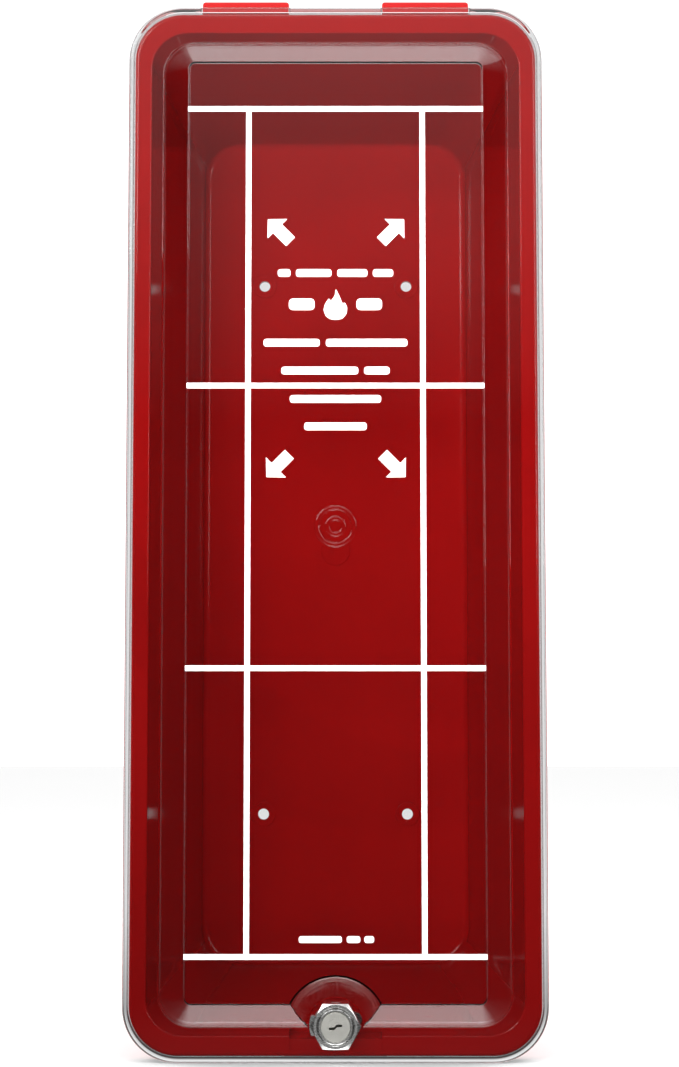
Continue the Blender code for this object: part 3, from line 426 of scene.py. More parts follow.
lead_in = solid("strike_lead_in", extruded_rings(lead_outline, [-half, half], axis=0))
changes = [("UNION", strike), ("DIFFERENCE", pocket), ("DIFFERENCE", lead_in), ("DIFFERENCE", slot)]
changes += [("DIFFERENCE", barrel_notch), ("DIFFERENCE", shoulder_notch)]
for place in hole_places:
    profile = [(HOLE_RADIUS, -BACK_WALL - PAST_FACE), (HOLE_RADIUS, BACK_WALL)]
    changes.append(("DIFFERENCE", solid("screw_hole", turned_rings(profile, place, 48))))
pilot_mouth = -BACK_WALL - CENTRE_BOSS_HEIGHT
profile = [(PILOT_RADIUS, pilot_mouth - PAST_FACE / 2), (PILOT_RADIUS, pilot_mouth + PILOT_DEPTH)]
changes.append(("DIFFERENCE", solid("pilot_hole", turned_rings(profile, pilot_middle, 48))))
tub = worked(tub, changes)
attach(tub, "tub")
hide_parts("tub")

# ---- Cover --------------------------------------------------------------------------------------------
# One clear styrene moulding, made brittle enough to break with a blow: a raised panel, a bevel and a flat
# flange, and a skirt that laps over the tub's rim. It hangs on the hooks through two slots in its top edge.
COVER_WALL = 0.0022
SKIRT_WALL = 0.0025
SKIRT_DEPTH = 0.0180
SKIRT_EDGE_ROUND = 0.0025
SKIRT_END_ROUND = 0.0005
SKIRT_ROOT_ROUND = 0.0012
COVER_FLANGE = 0.0195
COVER_END_FLANGE = 0.0205
PANEL_LOWER = 0.0025
FOOT_LOWER = 0.0010
BEVEL_RUN = 0.0145
COVER_CORNER = 0.0300
PANEL_CORNER = 0.0040
PANEL_BORDER = 0.0020
PANEL_EDGE_ROUND = 0.0005
PANEL_INNER_ROUND = 0.0004
FOOT_ROUND = 0.0006
FOOT_CORNER = 0.0180
RECESS_RADII = (0.026956, 0.014756)
RING_RADII = (0.0101, 0.0044)
RING_HALF_WIDTH = 0.0015
SCORE_WIDTH = 0.0010
SCORE_DEPTH = 0.0006
ROW_PITCH = 0.1535
COLUMN_PITCH = 0.0952
PATTERN_DROP = 0.0018
LOCK_HOLE_RADIUS = 0.0098
LOCK_HOLE_FLAT = 0.00945
SLOT_SIDE_GAP = 0.0008
SLOT_FRONT_GAP = 0.0009
SLOT_AHEAD_OF_HINGE = 0.0015
SLOT_CORNER = 0.0008
CUP_STEPS = 96
CLEAR_TINT = (0.880, 0.885, 0.890, 1.0)

COVER_HALF = (cover_high.x, cover_high.z)
PANEL_Y = cover_low.y + RING_HEIGHT
FLANGE_BACK_Y = FLANGE_Y + COVER_WALL
SKIRT_REAR_Y = FLANGE_Y + SKIRT_DEPTH
FOOT_HALF = (COVER_HALF[0] - COVER_FLANGE, COVER_HALF[1] - COVER_END_FLANGE)
PANEL_HALF = (FOOT_HALF[0] - BEVEL_RUN, FOOT_HALF[1] - BEVEL_RUN)
ROWS = [ROW_PITCH * (1.5 - row) - PATTERN_DROP for row in range(4)]
COLUMNS = [-COLUMN_PITCH / 2, COLUMN_PITCH / 2]


def clear_styrene():
    """Clear plastic, index 1.5. It bends what is seen through its edges, and it lets the light that falls
    on what is behind it straight through. Faint scuffs lie in the roughness."""
    made, tree, shader, place = new_finish("Clear styrene")
    shader.inputs["Base Color"].default_value = (0.93, 0.935, 0.94, 1.0)
    shader.inputs["Transmission Weight"].default_value = 1.0
    shader.inputs["IOR"].default_value = 1.5
    scuffs = noise(tree, stretched(tree, place, (90.0, 90.0, 12.0)), 1.0, 6.0, 0.7)
    tree.links.new(ranged(tree, scuffs, 0.6, 0.85, 0.0, 0.03), shader.inputs["Roughness"])
    clear = node(tree, "BsdfTransparent", Color=CLEAR_TINT)
    through = node(tree, "LightPath").outputs["Is Shadow Ray"]
    mixed = node(tree, "MixShader", Fac=through, _1=shader.outputs[0], _2=clear.outputs[0])
    tree.links.new(mixed.outputs[0], tree.nodes["Material Output"].inputs["Surface"])
    return made


def cover_front(inset):
    """Panel edge and bevel foot of the raised front, moved in by one wall: the mitre keeps it even."""
    mitre = inset * math.tan(math.atan2(PANEL_RISE, BEVEL_RUN) / 2)
    return [
        (PANEL_HALF[0] - mitre, PANEL_HALF[1] - mitre, PANEL_CORNER - mitre, PANEL_Y + inset, PANEL_LOWER),
        (FOOT_HALF[0] - mitre, FOOT_HALF[1] - mitre, FOOT_CORNER - mitre, FLANGE_Y + inset, FOOT_LOWER),
    ]


CLEAR = clear_styrene()
outer, inner = cover_front(0.0), cover_front(COVER_WALL)
skirt_inner = (COVER_HALF[0] - SKIRT_WALL, COVER_HALF[1] - SKIRT_WALL, COVER_CORNER - SKIRT_WALL)
cover_stations = softened(
    [
        (*[half - PANEL_BORDER for half in PANEL_HALF], PANEL_CORNER - PANEL_BORDER, PANEL_Y, PANEL_LOWER),
        outer[0],
        outer[1],
        (*COVER_HALF, COVER_CORNER, FLANGE_Y, 0),
        (*COVER_HALF, COVER_CORNER, SKIRT_REAR_Y, 0),
        (*skirt_inner, SKIRT_REAR_Y, 0),
        (*skirt_inner, FLANGE_BACK_Y, 0),
        inner[1],
        inner[0],
        (*[value - PANEL_BORDER for value in inner[0][:3]], *inner[0][3:]),
    ],
    [0, PANEL_EDGE_ROUND, FOOT_ROUND, SKIRT_EDGE_ROUND, SKIRT_END_ROUND, SKIRT_END_ROUND]
    + [SKIRT_ROOT_ROUND, FOOT_ROUND, PANEL_INNER_ROUND, 0],
)
cover = solid("cover_moulding", rounded_rings(cover_stations), CLEAR)

cone = (RECESS_RADII[0] - RECESS_RADII[1]) / PANEL_RISE
wall = COVER_WALL * math.sqrt(1 + cone**2)
cup = solid(
    "recess_cup",
    turned_rings(
        [
            (RECESS_RADII[1] + wall + cone * PANEL_RISE, FLANGE_Y - PANEL_RISE),
            (RECESS_RADII[1] + wall - cone * COVER_WALL, FLANGE_BACK_Y),
        ],
        (0, LOCK_Z),
        CUP_STEPS,
    ),
)
mid = cover_front(COVER_WALL / 2)
behind_wall = (*mid[1][:3], FLANGE_BACK_Y + COVER_WALL, FOOT_LOWER)
within = solid("inside_cover_wall", rounded_rings([mid[0], mid[1], behind_wall]))
cup = worked(cup, [("INTERSECT", within)])
recess = solid(
    "recess_cutter",
    turned_rings(
        [
            (RECESS_RADII[1] + 2 * cone * PANEL_RISE, FLANGE_Y - 2 * PANEL_RISE),
            (RECESS_RADII[1], FLANGE_Y + 0.00005),
        ],
        (0, LOCK_Z),
        CUP_STEPS,
    ),
)
changes = [("UNION", cup), ("DIFFERENCE", recess)]
for radius in RING_RADII:
    t = np.radians(np.linspace(0, 180, 13))
    crown = np.stack([radius + RING_HALF_WIDTH * np.cos(t), PANEL_Y - RING_HEIGHT * np.sin(t)], axis=1)
    foot = [(radius + side * RING_HALF_WIDTH, PANEL_Y + COVER_WALL / 2) for side in (-1, 1)]
    ring = turned_rings(np.vstack([crown, foot]), (0, -PATTERN_DROP), CUP_STEPS)
    ring = solid("centre_ring", ring, loop=True)
    changes.append(("UNION", ring))
groove = PANEL_Y + COVER_WALL - SCORE_DEPTH
groove_end = PANEL_HALF[0] - 2 * COVER_WALL
half = SCORE_WIDTH / 2
groove_back = groove + COVER_WALL
for z in ROWS:
    cutter = block("score_row", (-groove_end, groove, z - half), (groove_end, groove_back, z + half), 0.0001)
    changes.append(("DIFFERENCE", cutter))
for x in COLUMNS:
    cutter = block("score_column", (x - half, groove, ROWS[-1]), (x + half, groove_back, ROWS[0]), 0.0001)
    changes.append(("DIFFERENCE", cutter))
reach = math.asin(LOCK_HOLE_FLAT / LOCK_HOLE_RADIUS)
t = np.concatenate([np.linspace(-reach, reach, 33), np.linspace(math.pi - reach, math.pi + reach, 33)])
lock_hole = np.stack([LOCK_HOLE_RADIUS * np.cos(t), LOCK_Z + LOCK_HOLE_RADIUS * np.sin(t)], axis=1)
lock_hole = extruded_rings(lock_hole, [FLANGE_Y - PAST_FACE, FLANGE_Y + 1.5 * PAST_FACE], axis=1)
changes.append(("DIFFERENCE", solid("lock_hole", lock_hole)))
slot_reach = math.hypot(HINGE_Y - tab_front, tab_top - (COVER_HALF[1] - SKIRT_WALL / 2))
for side in (-1, 1):
    middle = side * TAB_PITCH / 2
    half = TAB_WIDTH / 2 + SLOT_SIDE_GAP
    front, rear = HINGE_Y - slot_reach - SLOT_FRONT_GAP, HINGE_Y - SLOT_AHEAD_OF_HINGE
    corners = [(middle - half, front), (middle + half, front), (middle + half, rear), (middle - half, rear)]
    outline = softened(corners, SLOT_CORNER, closed=True)
    bottom, top = COVER_HALF[1] - SKIRT_WALL - SKIRT_END_ROUND, COVER_HALF[1] + SKIRT_WALL
    changes.append(("DIFFERENCE", solid("hinge_slot", extruded_rings(outline, [bottom, top], axis=2))))
cover = worked(cover, changes)
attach(cover, "cover")
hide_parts("cover")

# ---- Print --------------------------------------------------------------------------------------------
# White ink, screen-printed on the front of the panel: bold lines over the score grooves, four arrows that
# point to where to strike, and a flame sign with plain bars.
INK_FRONT = 0.00012
INK_BACK = 0.00002
LINE_HALF = 0.00148
LINE_CORNER = 0.0001
INK_WHITE = (0.93, 0.93, 0.925, 1.0)
INK_WHITEST = (0.97, 0.97, 0.97, 1.0)
ARROW_CORNER = 0.00035
FLAME_RADIUS = 0.0086
FLAME_Z = 0.1197
FLAME_CORNER = 0.0009
MM = 0.001


def white_ink():
    """Opaque screen ink: almost matt, with the faint mesh of the screen in its height."""
    made, tree, shader, place = new_finish("White screen ink")
    weave = noise(tree, place, 2200.0, 2.0)
    patch = noise(tree, place, 60.0, 3.0)
    colour = two_toned(tree, patch, 0.3, 0.7, INK_WHITE, INK_WHITEST)
    tree.links.new(colour, shader.inputs["Base Color"])
    tree.links.new(ranged(tree, weave, 0.3, 0.7, 0.38, 0.5), shader.inputs["Roughness"])
    tree.links.new(bumped(tree, weave, 0.00002, 0.4), shader.inputs["Normal"])
    return made


def printed(name, outlines, finish):
    """Flat shapes as thin solids on the panel. Every outline gives a front, a back and a wall between."""
    points, faces, start = [], [], 0
    for outline in outlines:
        outline = np.asarray(outline, float)
        count = len(outline)
        front = np.stack([outline[:, 0], np.full(count, PANEL_Y - INK_FRONT), outline[:, 1]], axis=1)
        back = front + [0, INK_FRONT - INK_BACK, 0]
        points += [front, back]
        index = np.arange(count)
        after = (index + 1) % count
        wall = np.stack([index, after, after + count, index + count], axis=1) + start
        faces += wall.tolist() + [(index + start).tolist(), (index[::-1] + start + count).tolist()]
        start += 2 * count
    mesh = bpy.data.meshes.new(name)
    mesh.from_pydata(np.vstack(points), [], faces)
    mesh.materials.append(finish)
    piece = bpy.data.objects.new(name, mesh)
    bpy.context.scene.collection.objects.link(piece)
    tidied(piece, 20)
    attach(piece, "cover")
    return piece


def bar(x0, x1, z0, z1, corner):
    """A rounded bar between two corners."""
    return softened([(x0, z0), (x1, z0), (x1, z1), (x0, z1)], corner, closed=True, steps=6, lead=0.00002)


INK = white_ink()
lines = [bar(-PANEL_HALF[0], PANEL_HALF[0], z - LINE_HALF, z + LINE_HALF, LINE_CORNER) for z in ROWS]
for x in COLUMNS:
    for above, below in zip(ROWS, ROWS[1:]):
        lines.append(bar(x - LINE_HALF, x + LINE_HALF, below + LINE_HALF, above - LINE_HALF, LINE_CORNER / 2))
printed("score_lines", lines, INK)

arrow = [(0.0, 0.0), (-7.6, -7.4), (-3.4, -7.4), (-3.4, -17.6), (3.4, -17.6), (3.4, -7.4), (7.6, -7.4)]
arrow = softened(np.array(arrow) * MM, ARROW_CORNER, closed=True, steps=4, lead=0.00002)
arrow_places = [(-0.0370, 0.1668, 45), (0.0375, 0.1668, -45), (-0.0375, 0.0249, 135), (0.0380, 0.0249, -135)]
arrows = []
for x, z, turn in arrow_places:
    c, s = math.cos(math.radians(turn)), math.sin(math.radians(turn))
    arrows.append(arrow @ np.array([[c, s], [-s, c]]) + [x, z])
printed("strike_arrows", arrows, INK)

flame = np.array(
    [(0, -1), (0.42, -0.93), (0.70, -0.62), (0.74, -0.20), (0.58, 0.14)]
    + [(0.44, 0.02), (0.30, 0.42), (0.02, 1.0), (-0.04, 0.56), (-0.30, 0.20)]
    + [(-0.42, 0.40), (-0.66, 0.02), (-0.76, -0.36), (-0.62, -0.76), (-0.34, -0.95)]
)
flame = flame * FLAME_RADIUS + [0, FLAME_Z]
sign = [softened(flame, FLAME_CORNER, closed=True, steps=6, lead=0.00001)]
for z, height, spans in (
    (137.0, 4.2, [(-31.5, -24.6), (-21.6, -2.2), (1.0, 17.4), (20.4, 31.5)]),
    (119.7, 6.4, [(-25.4, -11.4), (11.4, 25.4)]),
    (98.5, 4.2, [(-39.2, -8.6), (-5.2, 39.2)]),
    (83.2, 4.2, [(-29.5, 12.4), (15.6, 29.5)]),
    (67.6, 4.2, [(-24.8, 24.8)]),
    (52.6, 4.2, [(-17.0, 17.0)]),
    (-222.9, 3.6, [(-19.6, 3.4), (6.0, 13.2), (15.4, 20.6)]),
):
    for x0, x1 in spans:
        sign.append(bar(x0 * MM, x1 * MM, (z - height / 2) * MM, (z + height / 2) * MM, 0.42 * height * MM))
printed("flame_sign", sign, INK)

# ---- The lock's face ----------------------------------------------------------------------------------
# A chromed cam lock clamped to the cover: a hexagon nut and a tabbed washer on the barrel's thread, and
# the turning plug with its stippled face and stepped key slot.
NUT_FLATS = 0.0240
BARREL_RADIUS = 0.0095
BARREL_FLAT = 0.00915
THREAD_PITCH = 0.0010
THREAD_DEPTH = 0.00035
PLUG_FACE_RADIUS = 0.0079
WAFER_GAP = 0.00015
WAFER_GROOVE_REACH = 0.0079
FIT = 0.0003
NUT_FACE_INSET = 0.0003
NUT_CHAMFER_ANGLE = 28
NUT_SINK = 0.0005
NUT_STEPS = 144
WORN_EDGE = 0.00015
WASHER_RADIUS = 0.0123
WASHER_TAB_RADIUS = 0.0142
WASHER_TAB_ANGLE = 26
WASHER_TAB_EASE = 3
WASHER_EDGE = 0.0002
COUNTERBORE_DEPTH = 0.0016
MOUTH_ROUND = 0.0002
BORE_FIT = 0.00025
THREAD_START = 0.0008
THREAD_END = 0.0024
SHOULDER_RADIUS = 0.0115
SHOULDER_FRONT = 0.0035
SHOULDER_BACK = 0.0053
BARREL_END = 0.0174
FLAT_END = 0.00345
CUTTER_REACH = 0.02
LOCK_STEPS = 96
PLUG_FACE_THICKNESS = 0.0014
PLUG_FACE_ROUND = 0.0003
STEP_ROUND = 0.0001
STUD_RADIUS = 0.0030
AXIS_RADIUS = 0.0005
SHANK_HALF = 0.0030
KEY_SLOT_END = 0.0078
KEY_SLOT_CORNER = 0.00015
PLUG_RADIUS = 0.00675


def chrome(name, base, roughness, stipple=0.0, pits=2300.0):
    """Plated zinc: mirror-like, with fine rub lines in the roughness. A stipple gives it a cast grain."""
    made, tree, shader, place = new_finish(name)
    shader.inputs["Metallic"].default_value = 1.0
    patch = noise(tree, place, 160.0, 4.0)
    duller = [0.9 * part for part in base]
    colour = two_toned(tree, patch, 0.3, 0.7, (*base, 1.0), (*duller, 1.0))
    tree.links.new(colour, shader.inputs["Base Color"])
    rubs = noise(tree, stretched(tree, place, (900.0, 300.0, 2600.0)), 1.0, 4.0, 0.6)
    tree.links.new(ranged(tree, rubs, 0.35, 0.7, roughness, roughness + 0.12), shader.inputs["Roughness"])
    normal = bumped(tree, noise(tree, place, 700.0, 2.0), 0.00002, 0.3)
    if stipple:
        grain = node(tree, "TexVoronoi", Vector=place, Scale=pits).outputs["Distance"]
        normal = bumped(tree, grain, stipple, 1.0, normal)
    tree.links.new(normal, shader.inputs["Normal"])
    return made


BRIGHT = chrome("Bright chrome", (0.80, 0.80, 0.79), 0.20)
STIPPLED = chrome("Stippled zinc", (0.68, 0.67, 0.62), 0.42, 0.00016, 1400.0)
LOCK_AXIS = (0.0, LOCK_Z)


def hexagon_nut(name, node_name, flats, bore, finish):
    """A nut in the box of its CAD node, with turned-off corners and a countersunk bore."""
    lowest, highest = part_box(node_name)
    front, back = lowest.y, highest.y
    corner = flats / math.sqrt(3)
    face = flats / 2 - NUT_FACE_INSET
    fall = (corner - face) * math.tan(math.radians(NUT_CHAMFER_ANGLE))
    across = np.linspace(face, corner, 9)
    slope_front = [(radius, front + (radius - face) * fall / (corner - face)) for radius in across]
    slope_back = [(radius, back - (radius - face) * fall / (corner - face)) for radius in across]
    profile = [(bore, front + NUT_SINK), (bore + NUT_SINK, front)] + slope_front + slope_back[::-1]
    profile += [(bore + NUT_SINK, back), (bore, back - NUT_SINK)]
    grid = turned_rings(profile, (0, 0), NUT_STEPS)
    t = np.radians(np.arange(NUT_STEPS) * 360 / NUT_STEPS)
    limit = flats / 2 / np.cos((t % math.radians(60)) - math.radians(30))
    radius = np.hypot(grid[:, :, 0], grid[:, :, 2])
    kept = np.minimum(radius, limit)
    # Where a flat cuts a slope short, the point slides back along the slope.
    slid = np.maximum(kept - face, 0) * fall / (corner - face)
    first, second, end = 2, 2 + len(across), 2 + 2 * len(across)
    grid[first:second, :, 1] = front + slid[first:second]
    grid[second:end, :, 1] = back - slid[second:end]
    grid[:, :, 0] = kept * np.cos(t)
    grid[:, :, 2] = LOCK_Z + kept * np.sin(t)
    piece = solid(name, grid, finish, loop=True, sharp=25)
    soft = piece.modifiers.new("Worn edges", "BEVEL")
    soft.width = WORN_EDGE
    soft.segments = 2
    soft.limit_method = "ANGLE"
    soft.angle_limit = math.radians(25)
    return piece


nut = hexagon_nut("lock_hex_nut", "lock_nut", NUT_FLATS, BARREL_RADIUS + FIT, BRIGHT)
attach(nut, "cover")
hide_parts("lock_nut")

washer_low, washer_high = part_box("lock_washer")
t = np.radians(np.arange(360))
on_tab = np.clip((WASHER_TAB_ANGLE - np.abs(np.degrees(t) - 180)) / WASHER_TAB_EASE, 0, 1)
rim = WASHER_RADIUS + (WASHER_TAB_RADIUS - WASHER_RADIUS) * (3 * on_tab**2 - 2 * on_tab**3)
inside = np.full(360, BARREL_RADIUS + FIT)
near_rim = rim - WASHER_EDGE
levels = [(inside, washer_low.y), (near_rim, washer_low.y), (rim, washer_low.y + WASHER_EDGE)]
levels += [(rim, washer_high.y - WASHER_EDGE), (near_rim, washer_high.y), (inside, washer_high.y)]
grid = np.stack([np.stack([r * np.cos(t), 0 * r + y, LOCK_Z + r * np.sin(t)], axis=1) for r, y in levels])
washer = solid("tabbed_washer", grid, BRIGHT, loop=True)
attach(washer, "cover")
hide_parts("lock_washer")

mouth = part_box("lock_barrel")[0].y
counterbore = PLUG_FACE_RADIUS + FIT
bore = PLUG_RADIUS + BORE_FIT
thread_start, thread_end = mouth + THREAD_START, FLANGE_Y + THREAD_END
turns = np.arange(thread_start, thread_end, THREAD_PITCH / 4)
turned = (turns - thread_start) * 2 * math.pi / THREAD_PITCH
crest = BARREL_RADIUS - THREAD_DEPTH * (0.5 - 0.5 * np.cos(turned))
thread = np.stack([crest, turns], axis=1)
shoulder_front, shoulder_back = FLANGE_Y + SHOULDER_FRONT, FLANGE_Y + SHOULDER_BACK
barrel_end = FLANGE_Y + BARREL_END
profile = np.vstack(
    [
        [(counterbore, mouth + COUNTERBORE_DEPTH), (counterbore, mouth + MOUTH_ROUND)],
        [(counterbore + MOUTH_ROUND, mouth), (BARREL_RADIUS - 0.0005, mouth)],
        [(BARREL_RADIUS - 0.0001, mouth + 0.0003)],
        thread,
        [(BARREL_RADIUS, thread_end), (BARREL_RADIUS, shoulder_front), (SHOULDER_RADIUS, shoulder_front)],
        [(SHOULDER_RADIUS, shoulder_back), (BARREL_RADIUS, shoulder_back), (BARREL_RADIUS, barrel_end)],
        [(bore, barrel_end), (bore, mouth + COUNTERBORE_DEPTH)],
    ]
)
barrel = solid("threaded_barrel", turned_rings(profile, LOCK_AXIS, LOCK_STEPS), BRIGHT, loop=True)
changes = []
for side in (-1, 1):
    z0, z1 = sorted((LOCK_Z + side * BARREL_FLAT, LOCK_Z + side * CUTTER_REACH))
    flat_low = (-CUTTER_REACH, mouth - CUTTER_REACH / 2, z0)
    flat_high = (CUTTER_REACH, FLANGE_Y + FLAT_END, z1)
    changes.append(("DIFFERENCE", block("barrel_flat", flat_low, flat_high)))
wafers = [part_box(f"wafer_{number}") for number in range(1, 5)]
wafer_fronts = [lowest.y - WAFER_GAP for lowest, _ in wafers]
wafer_backs = [highest.y + WAFER_GAP for _, highest in wafers]
wafer_half = (wafers[0][1].z - wafers[0][0].z) / 2 + WAFER_GAP
groove_low = (-WAFER_GROOVE_REACH, min(wafer_fronts) - WAFER_GAP, LOCK_Z - wafer_half)
groove_high = (WAFER_GROOVE_REACH, max(wafer_backs) + WAFER_GAP, LOCK_Z + wafer_half)
changes.append(("DIFFERENCE", block("wafer_groove", groove_low, groove_high, 0.0001)))
barrel = worked(barrel, changes)
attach(barrel, "cover")
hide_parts("lock_barrel")

plug_low, plug_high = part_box("lock_plug")
face_back = plug_low.y + PLUG_FACE_THICKNESS
stop_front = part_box("stop_washer")[0].y
profile = softened(
    [
        (AXIS_RADIUS, plug_low.y),
        (PLUG_FACE_RADIUS, plug_low.y),
        (PLUG_FACE_RADIUS, face_back),
        (PLUG_RADIUS, face_back),
        (PLUG_RADIUS, stop_front - FIT),
        (STUD_RADIUS, stop_front - FIT),
        (STUD_RADIUS, plug_high.y),
        (AXIS_RADIUS, plug_high.y),
    ],
    [0, PLUG_FACE_ROUND, STEP_ROUND, STEP_ROUND, STEP_ROUND, STEP_ROUND, PLUG_FACE_ROUND, 0],
    lead=0.00005,
    steps=4,
)
plug = solid("lock_core", turned_rings(profile, LOCK_AXIS, LOCK_STEPS), STIPPLED)
key_slot = np.array(
    [(3.5, 1.45), (0.6, 1.45), (-0.9, -0.1), (-3.5, -0.1)]
    + [(-3.5, -1.45), (-0.6, -1.45), (0.9, 0.1), (3.5, 0.1)]
)
key_slot = softened(key_slot * MM, KEY_SLOT_CORNER, closed=True, steps=3, lead=0.00002) + [0, LOCK_Z]
cutter = extruded_rings(key_slot, [plug_low.y - PAST_FACE / 2, FLANGE_Y + KEY_SLOT_END], axis=1)
cutter = solid("key_slot", cutter)
shank_low = (-SHANK_HALF, stop_front - 2 * FIT, LOCK_Z - SHANK_HALF)
shank_high = (SHANK_HALF, cam_high.y, LOCK_Z + SHANK_HALF)
shank = block("shank", shank_low, shank_high, 0.0002)
changes = [("DIFFERENCE", cutter), ("UNION", shank)]
for front, back in zip(wafer_fronts, wafer_backs):
    slot_low = (-BARREL_RADIUS, front, LOCK_Z - wafer_half)
    slot_high = (BARREL_RADIUS, back, LOCK_Z + wafer_half)
    changes.append(("DIFFERENCE", block("wafer_slot", slot_low, slot_high, 0.0001)))
plug = worked(plug, changes)
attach(plug, "lock_plug")
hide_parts("lock_plug")

# ---- The rest of the lock -----------------------------------------------------------------------------
# Zinc-plated steel cam, stop washer, clip and nut on the plug's shank, a rubber gasket under the barrel's
# shoulder, brass wafers and their coil springs.
RUBBER_BLACK = (0.016, 0.016, 0.016, 1.0)
RUBBER_BLOOM = (0.030, 0.029, 0.028, 1.0)


def refinished(names, finish):
    """Gives CAD nodes one finish."""
    for name in names:
        frame["nodes"][name].data.materials.clear()
        frame["nodes"][name].data.materials.append(finish)


def moulded_rubber():
    """Matt black rubber with a fine moulded grain."""
    made, tree, shader, place = new_finish("Black rubber")
    bloom = noise(tree, place, 300.0, 3.0)
    colour = two_toned(tree, bloom, 0.35, 0.65, RUBBER_BLACK, RUBBER_BLOOM)
    tree.links.new(colour, shader.inputs["Base Color"])
    tree.links.new(ranged(tree, bloom, 0.3, 0.7, 0.60, 0.80), shader.inputs["Roughness"])
    tree.links.new(bumped(tree, noise(tree, place, 2500.0), 0.00002, 0.6), shader.inputs["Normal"])
    return made


refinished(
    ["cam", "stop_washer", "plug_clip", "cam_washer", "cam_nut"],
    chrome("Bright zinc plate", (0.58, 0.59, 0.57), 0.22),
)
refinished([f"wafer_{number}" for number in range(1, 5)], chrome("Wafer brass", (0.66, 0.46, 0.17), 0.20))
refinished(
    [f"wafer_spring_{number}" for number in range(1, 5)],
    chrome("Spring steel", (0.45, 0.46, 0.48), 0.20),
)
refinished(["lock_gasket"], moulded_rubber())

# ---- The room it is shown in --------------------------------------------------------------------------
# A plain pale floor, soft lights above and at both sides, soft-edged spots from the front, and a white
# surround.
FLOOR_REACH = 6.0
SPOT_ANGLE = 26
SPOT_RADIUS = 0.30
floor_z = cad_box[0][2]
corners = [(x * FLOOR_REACH, y * FLOOR_REACH, floor_z) for x, y in ((-1, -1), (1, -1), (1, 1), (-1, 1))]
mesh = bpy.data.meshes.new("studio_floor")
mesh.from_pydata(corners, [], [(0, 1, 2, 3)])
floor = bpy.data.objects.new("studio_floor", mesh)
bpy.context.scene.collection.objects.link(floor)
made, tree, shader, place = new_finish("Pale floor")
shader.inputs["Base Color"].default_value = (0.80, 0.80, 0.80, 1.0)
shader.inputs["Roughness"].default_value = 0.9
mesh.materials.append(made)
floor.visible_glossy = False
floor.visible_transmission = False
floor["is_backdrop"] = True


def soft_light(name, place, target, size, strength):
    """A large rectangular light that faces a point. With no size it is a soft-edged spot."""
    data = bpy.data.lights.new(name, "AREA" if size else "SPOT")
    if size:
        data.shape = "RECTANGLE"
        data.size, data.size_y = size
    else:
        data.spot_size = math.radians(SPOT_ANGLE)
        data.spot_blend = 1.0
        data.shadow_soft_size = SPOT_RADIUS
    data.energy = strength
    lamp = bpy.data.objects.new(name, data)
    lamp.location = place
    aim = np.array(target) - np.array(place)
    lamp.rotation_euler = (math.acos(-aim[2] / np.linalg.norm(aim)), 0, math.atan2(-aim[0], aim[1]))
    lamp.visible_camera = False
    bpy.context.scene.collection.objects.link(lamp)
    return lamp


soft_light("overhead", (0.42, 0.05, 1.30), (0.42, 0.05, 0.0), (1.7, 0.9), 5)
soft_light("front_left", (-1.1, -1.5, 1.0), (0.0, -0.1, 0.1), (1.0, 1.0), 12)
soft_light("front_right", (1.6, -1.6, 0.7), (0.0, -0.1, 0.0), (1.0, 1.2), 10)
fills = [
    soft_light("frontal_fill", (0.0, -2.3, 0.05), (0.03, -0.1, 0.05), None, 180),
    soft_light("low_fill", (-0.2, -1.3, -0.15), (0.0, -0.08, 0.29), None, 125),
    soft_light("side_fill_left", (-1.3, 0.35, 0.1), (-0.1, -0.1, 0.0), (0.6, 1.0), 22),
    soft_light("side_fill_right", (1.3, 0.35, 0.1), (0.1, -0.1, 0.0), (0.6, 1.0), 22),
    soft_light("key", (-0.55, -2.0, 0.05), (0.05, -0.05, 0.05), None, 105),
]
for lamp in fills:
    lamp.visible_glossy = False
    lamp.visible_transmission = False

# The surround is even for the light it gives. What is mirrored in it is dark all round at eye level and
# bright above, below and behind. What is seen through the clear edges is a mid grey.
world = bpy.data.worlds.new("White surround")
world.use_nodes = True
tree = world.node_tree
background = tree.nodes["Background"]
direction = node(tree, "SeparateXYZ", Vector=node(tree, "TexCoord").outputs["Generated"])


def combined(operation, first, second=0.0):
    """One arithmetic step on one or two values."""
    return node(tree, "Math", {"operation": operation}, _0=first, _1=second).outputs[0]


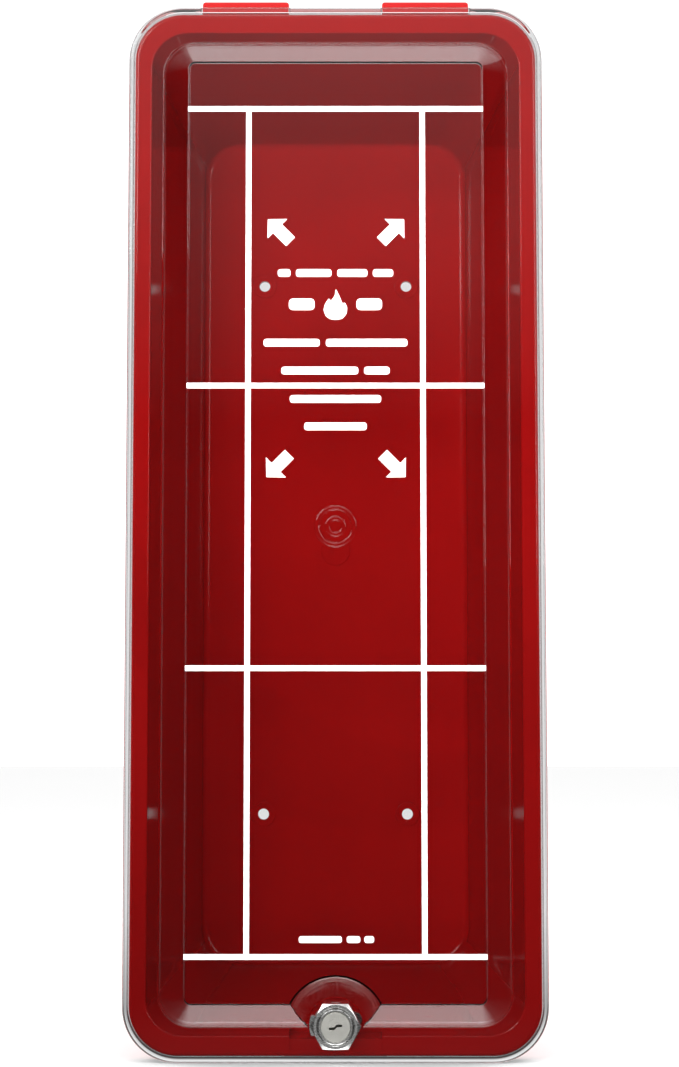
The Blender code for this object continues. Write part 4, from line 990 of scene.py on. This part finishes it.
steep = combined("ABSOLUTE", direction.outputs["Z"])
sideways = combined("ABSOLUTE", direction.outputs["X"])
above_below = ranged(tree, steep, 0.12, 0.50, 0.0, 1.5)
below = ranged(tree, direction.outputs["Z"], -0.60, -0.90, 0.0, 2.3)
ahead_only = ranged(tree, sideways, 0.18, 0.50, 1.0, 0.1)
upright = combined("MULTIPLY", combined("ADD", above_below, below), ahead_only)
behind = ranged(tree, direction.outputs["Y"], 0.10, 0.40, 0.05, 0.7)
mirrored = combined("MAXIMUM", upright, behind)
seen_level = ranged(tree, direction.outputs["Y"], 0.0, 0.15, 0.0, 0.55)
seen_above = ranged(tree, direction.outputs["Z"], 0.30, 0.70, 0.0, 0.4)
seen_ahead = ranged(tree, direction.outputs["Y"], 0.90, 0.97, 0.0, 0.3)
seen_low = ranged(tree, direction.outputs["Z"], -0.17, -0.09, 0.12, 1.0)
seen_through = combined("ADD", combined("ADD", seen_level, seen_above), seen_ahead)
seen_through = combined("MULTIPLY", seen_through, seen_low)
given = ranged(tree, direction.outputs["Z"], 0.50, 0.70, 0.28, 1.8)
rays = node(tree, "LightPath").outputs
spread = node(tree, "Mix", Factor=rays["Is Glossy Ray"], A=given, B=mirrored).outputs[0]
spread = node(tree, "Mix", Factor=rays["Is Transmission Ray"], A=spread, B=seen_through).outputs[0]
shown = node(tree, "Mix", Factor=rays["Is Camera Ray"], A=spread, B=1.5).outputs[0]
tree.links.new(shown, background.inputs["Strength"])
background.inputs["Color"].default_value = (1.0, 1.0, 1.0, 1.0)
bpy.context.scene.world = world
bpy.context.scene.view_settings.view_transform = "Standard"
bpy.context.scene.cycles.caustics_refractive = False

lens = bpy.data.cameras.new("camera")
lens.lens = 73.08
lens.sensor_width = 36.0
lens.shift_x = 0.00375
camera = bpy.data.objects.new("camera", lens)
camera.location = (0.0, -1.3524, -0.1010)
camera.rotation_euler = (math.radians(94.66), 0.0, 0.0)
bpy.context.scene.collection.objects.link(camera)
bpy.context.scene.camera = camera

low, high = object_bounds()
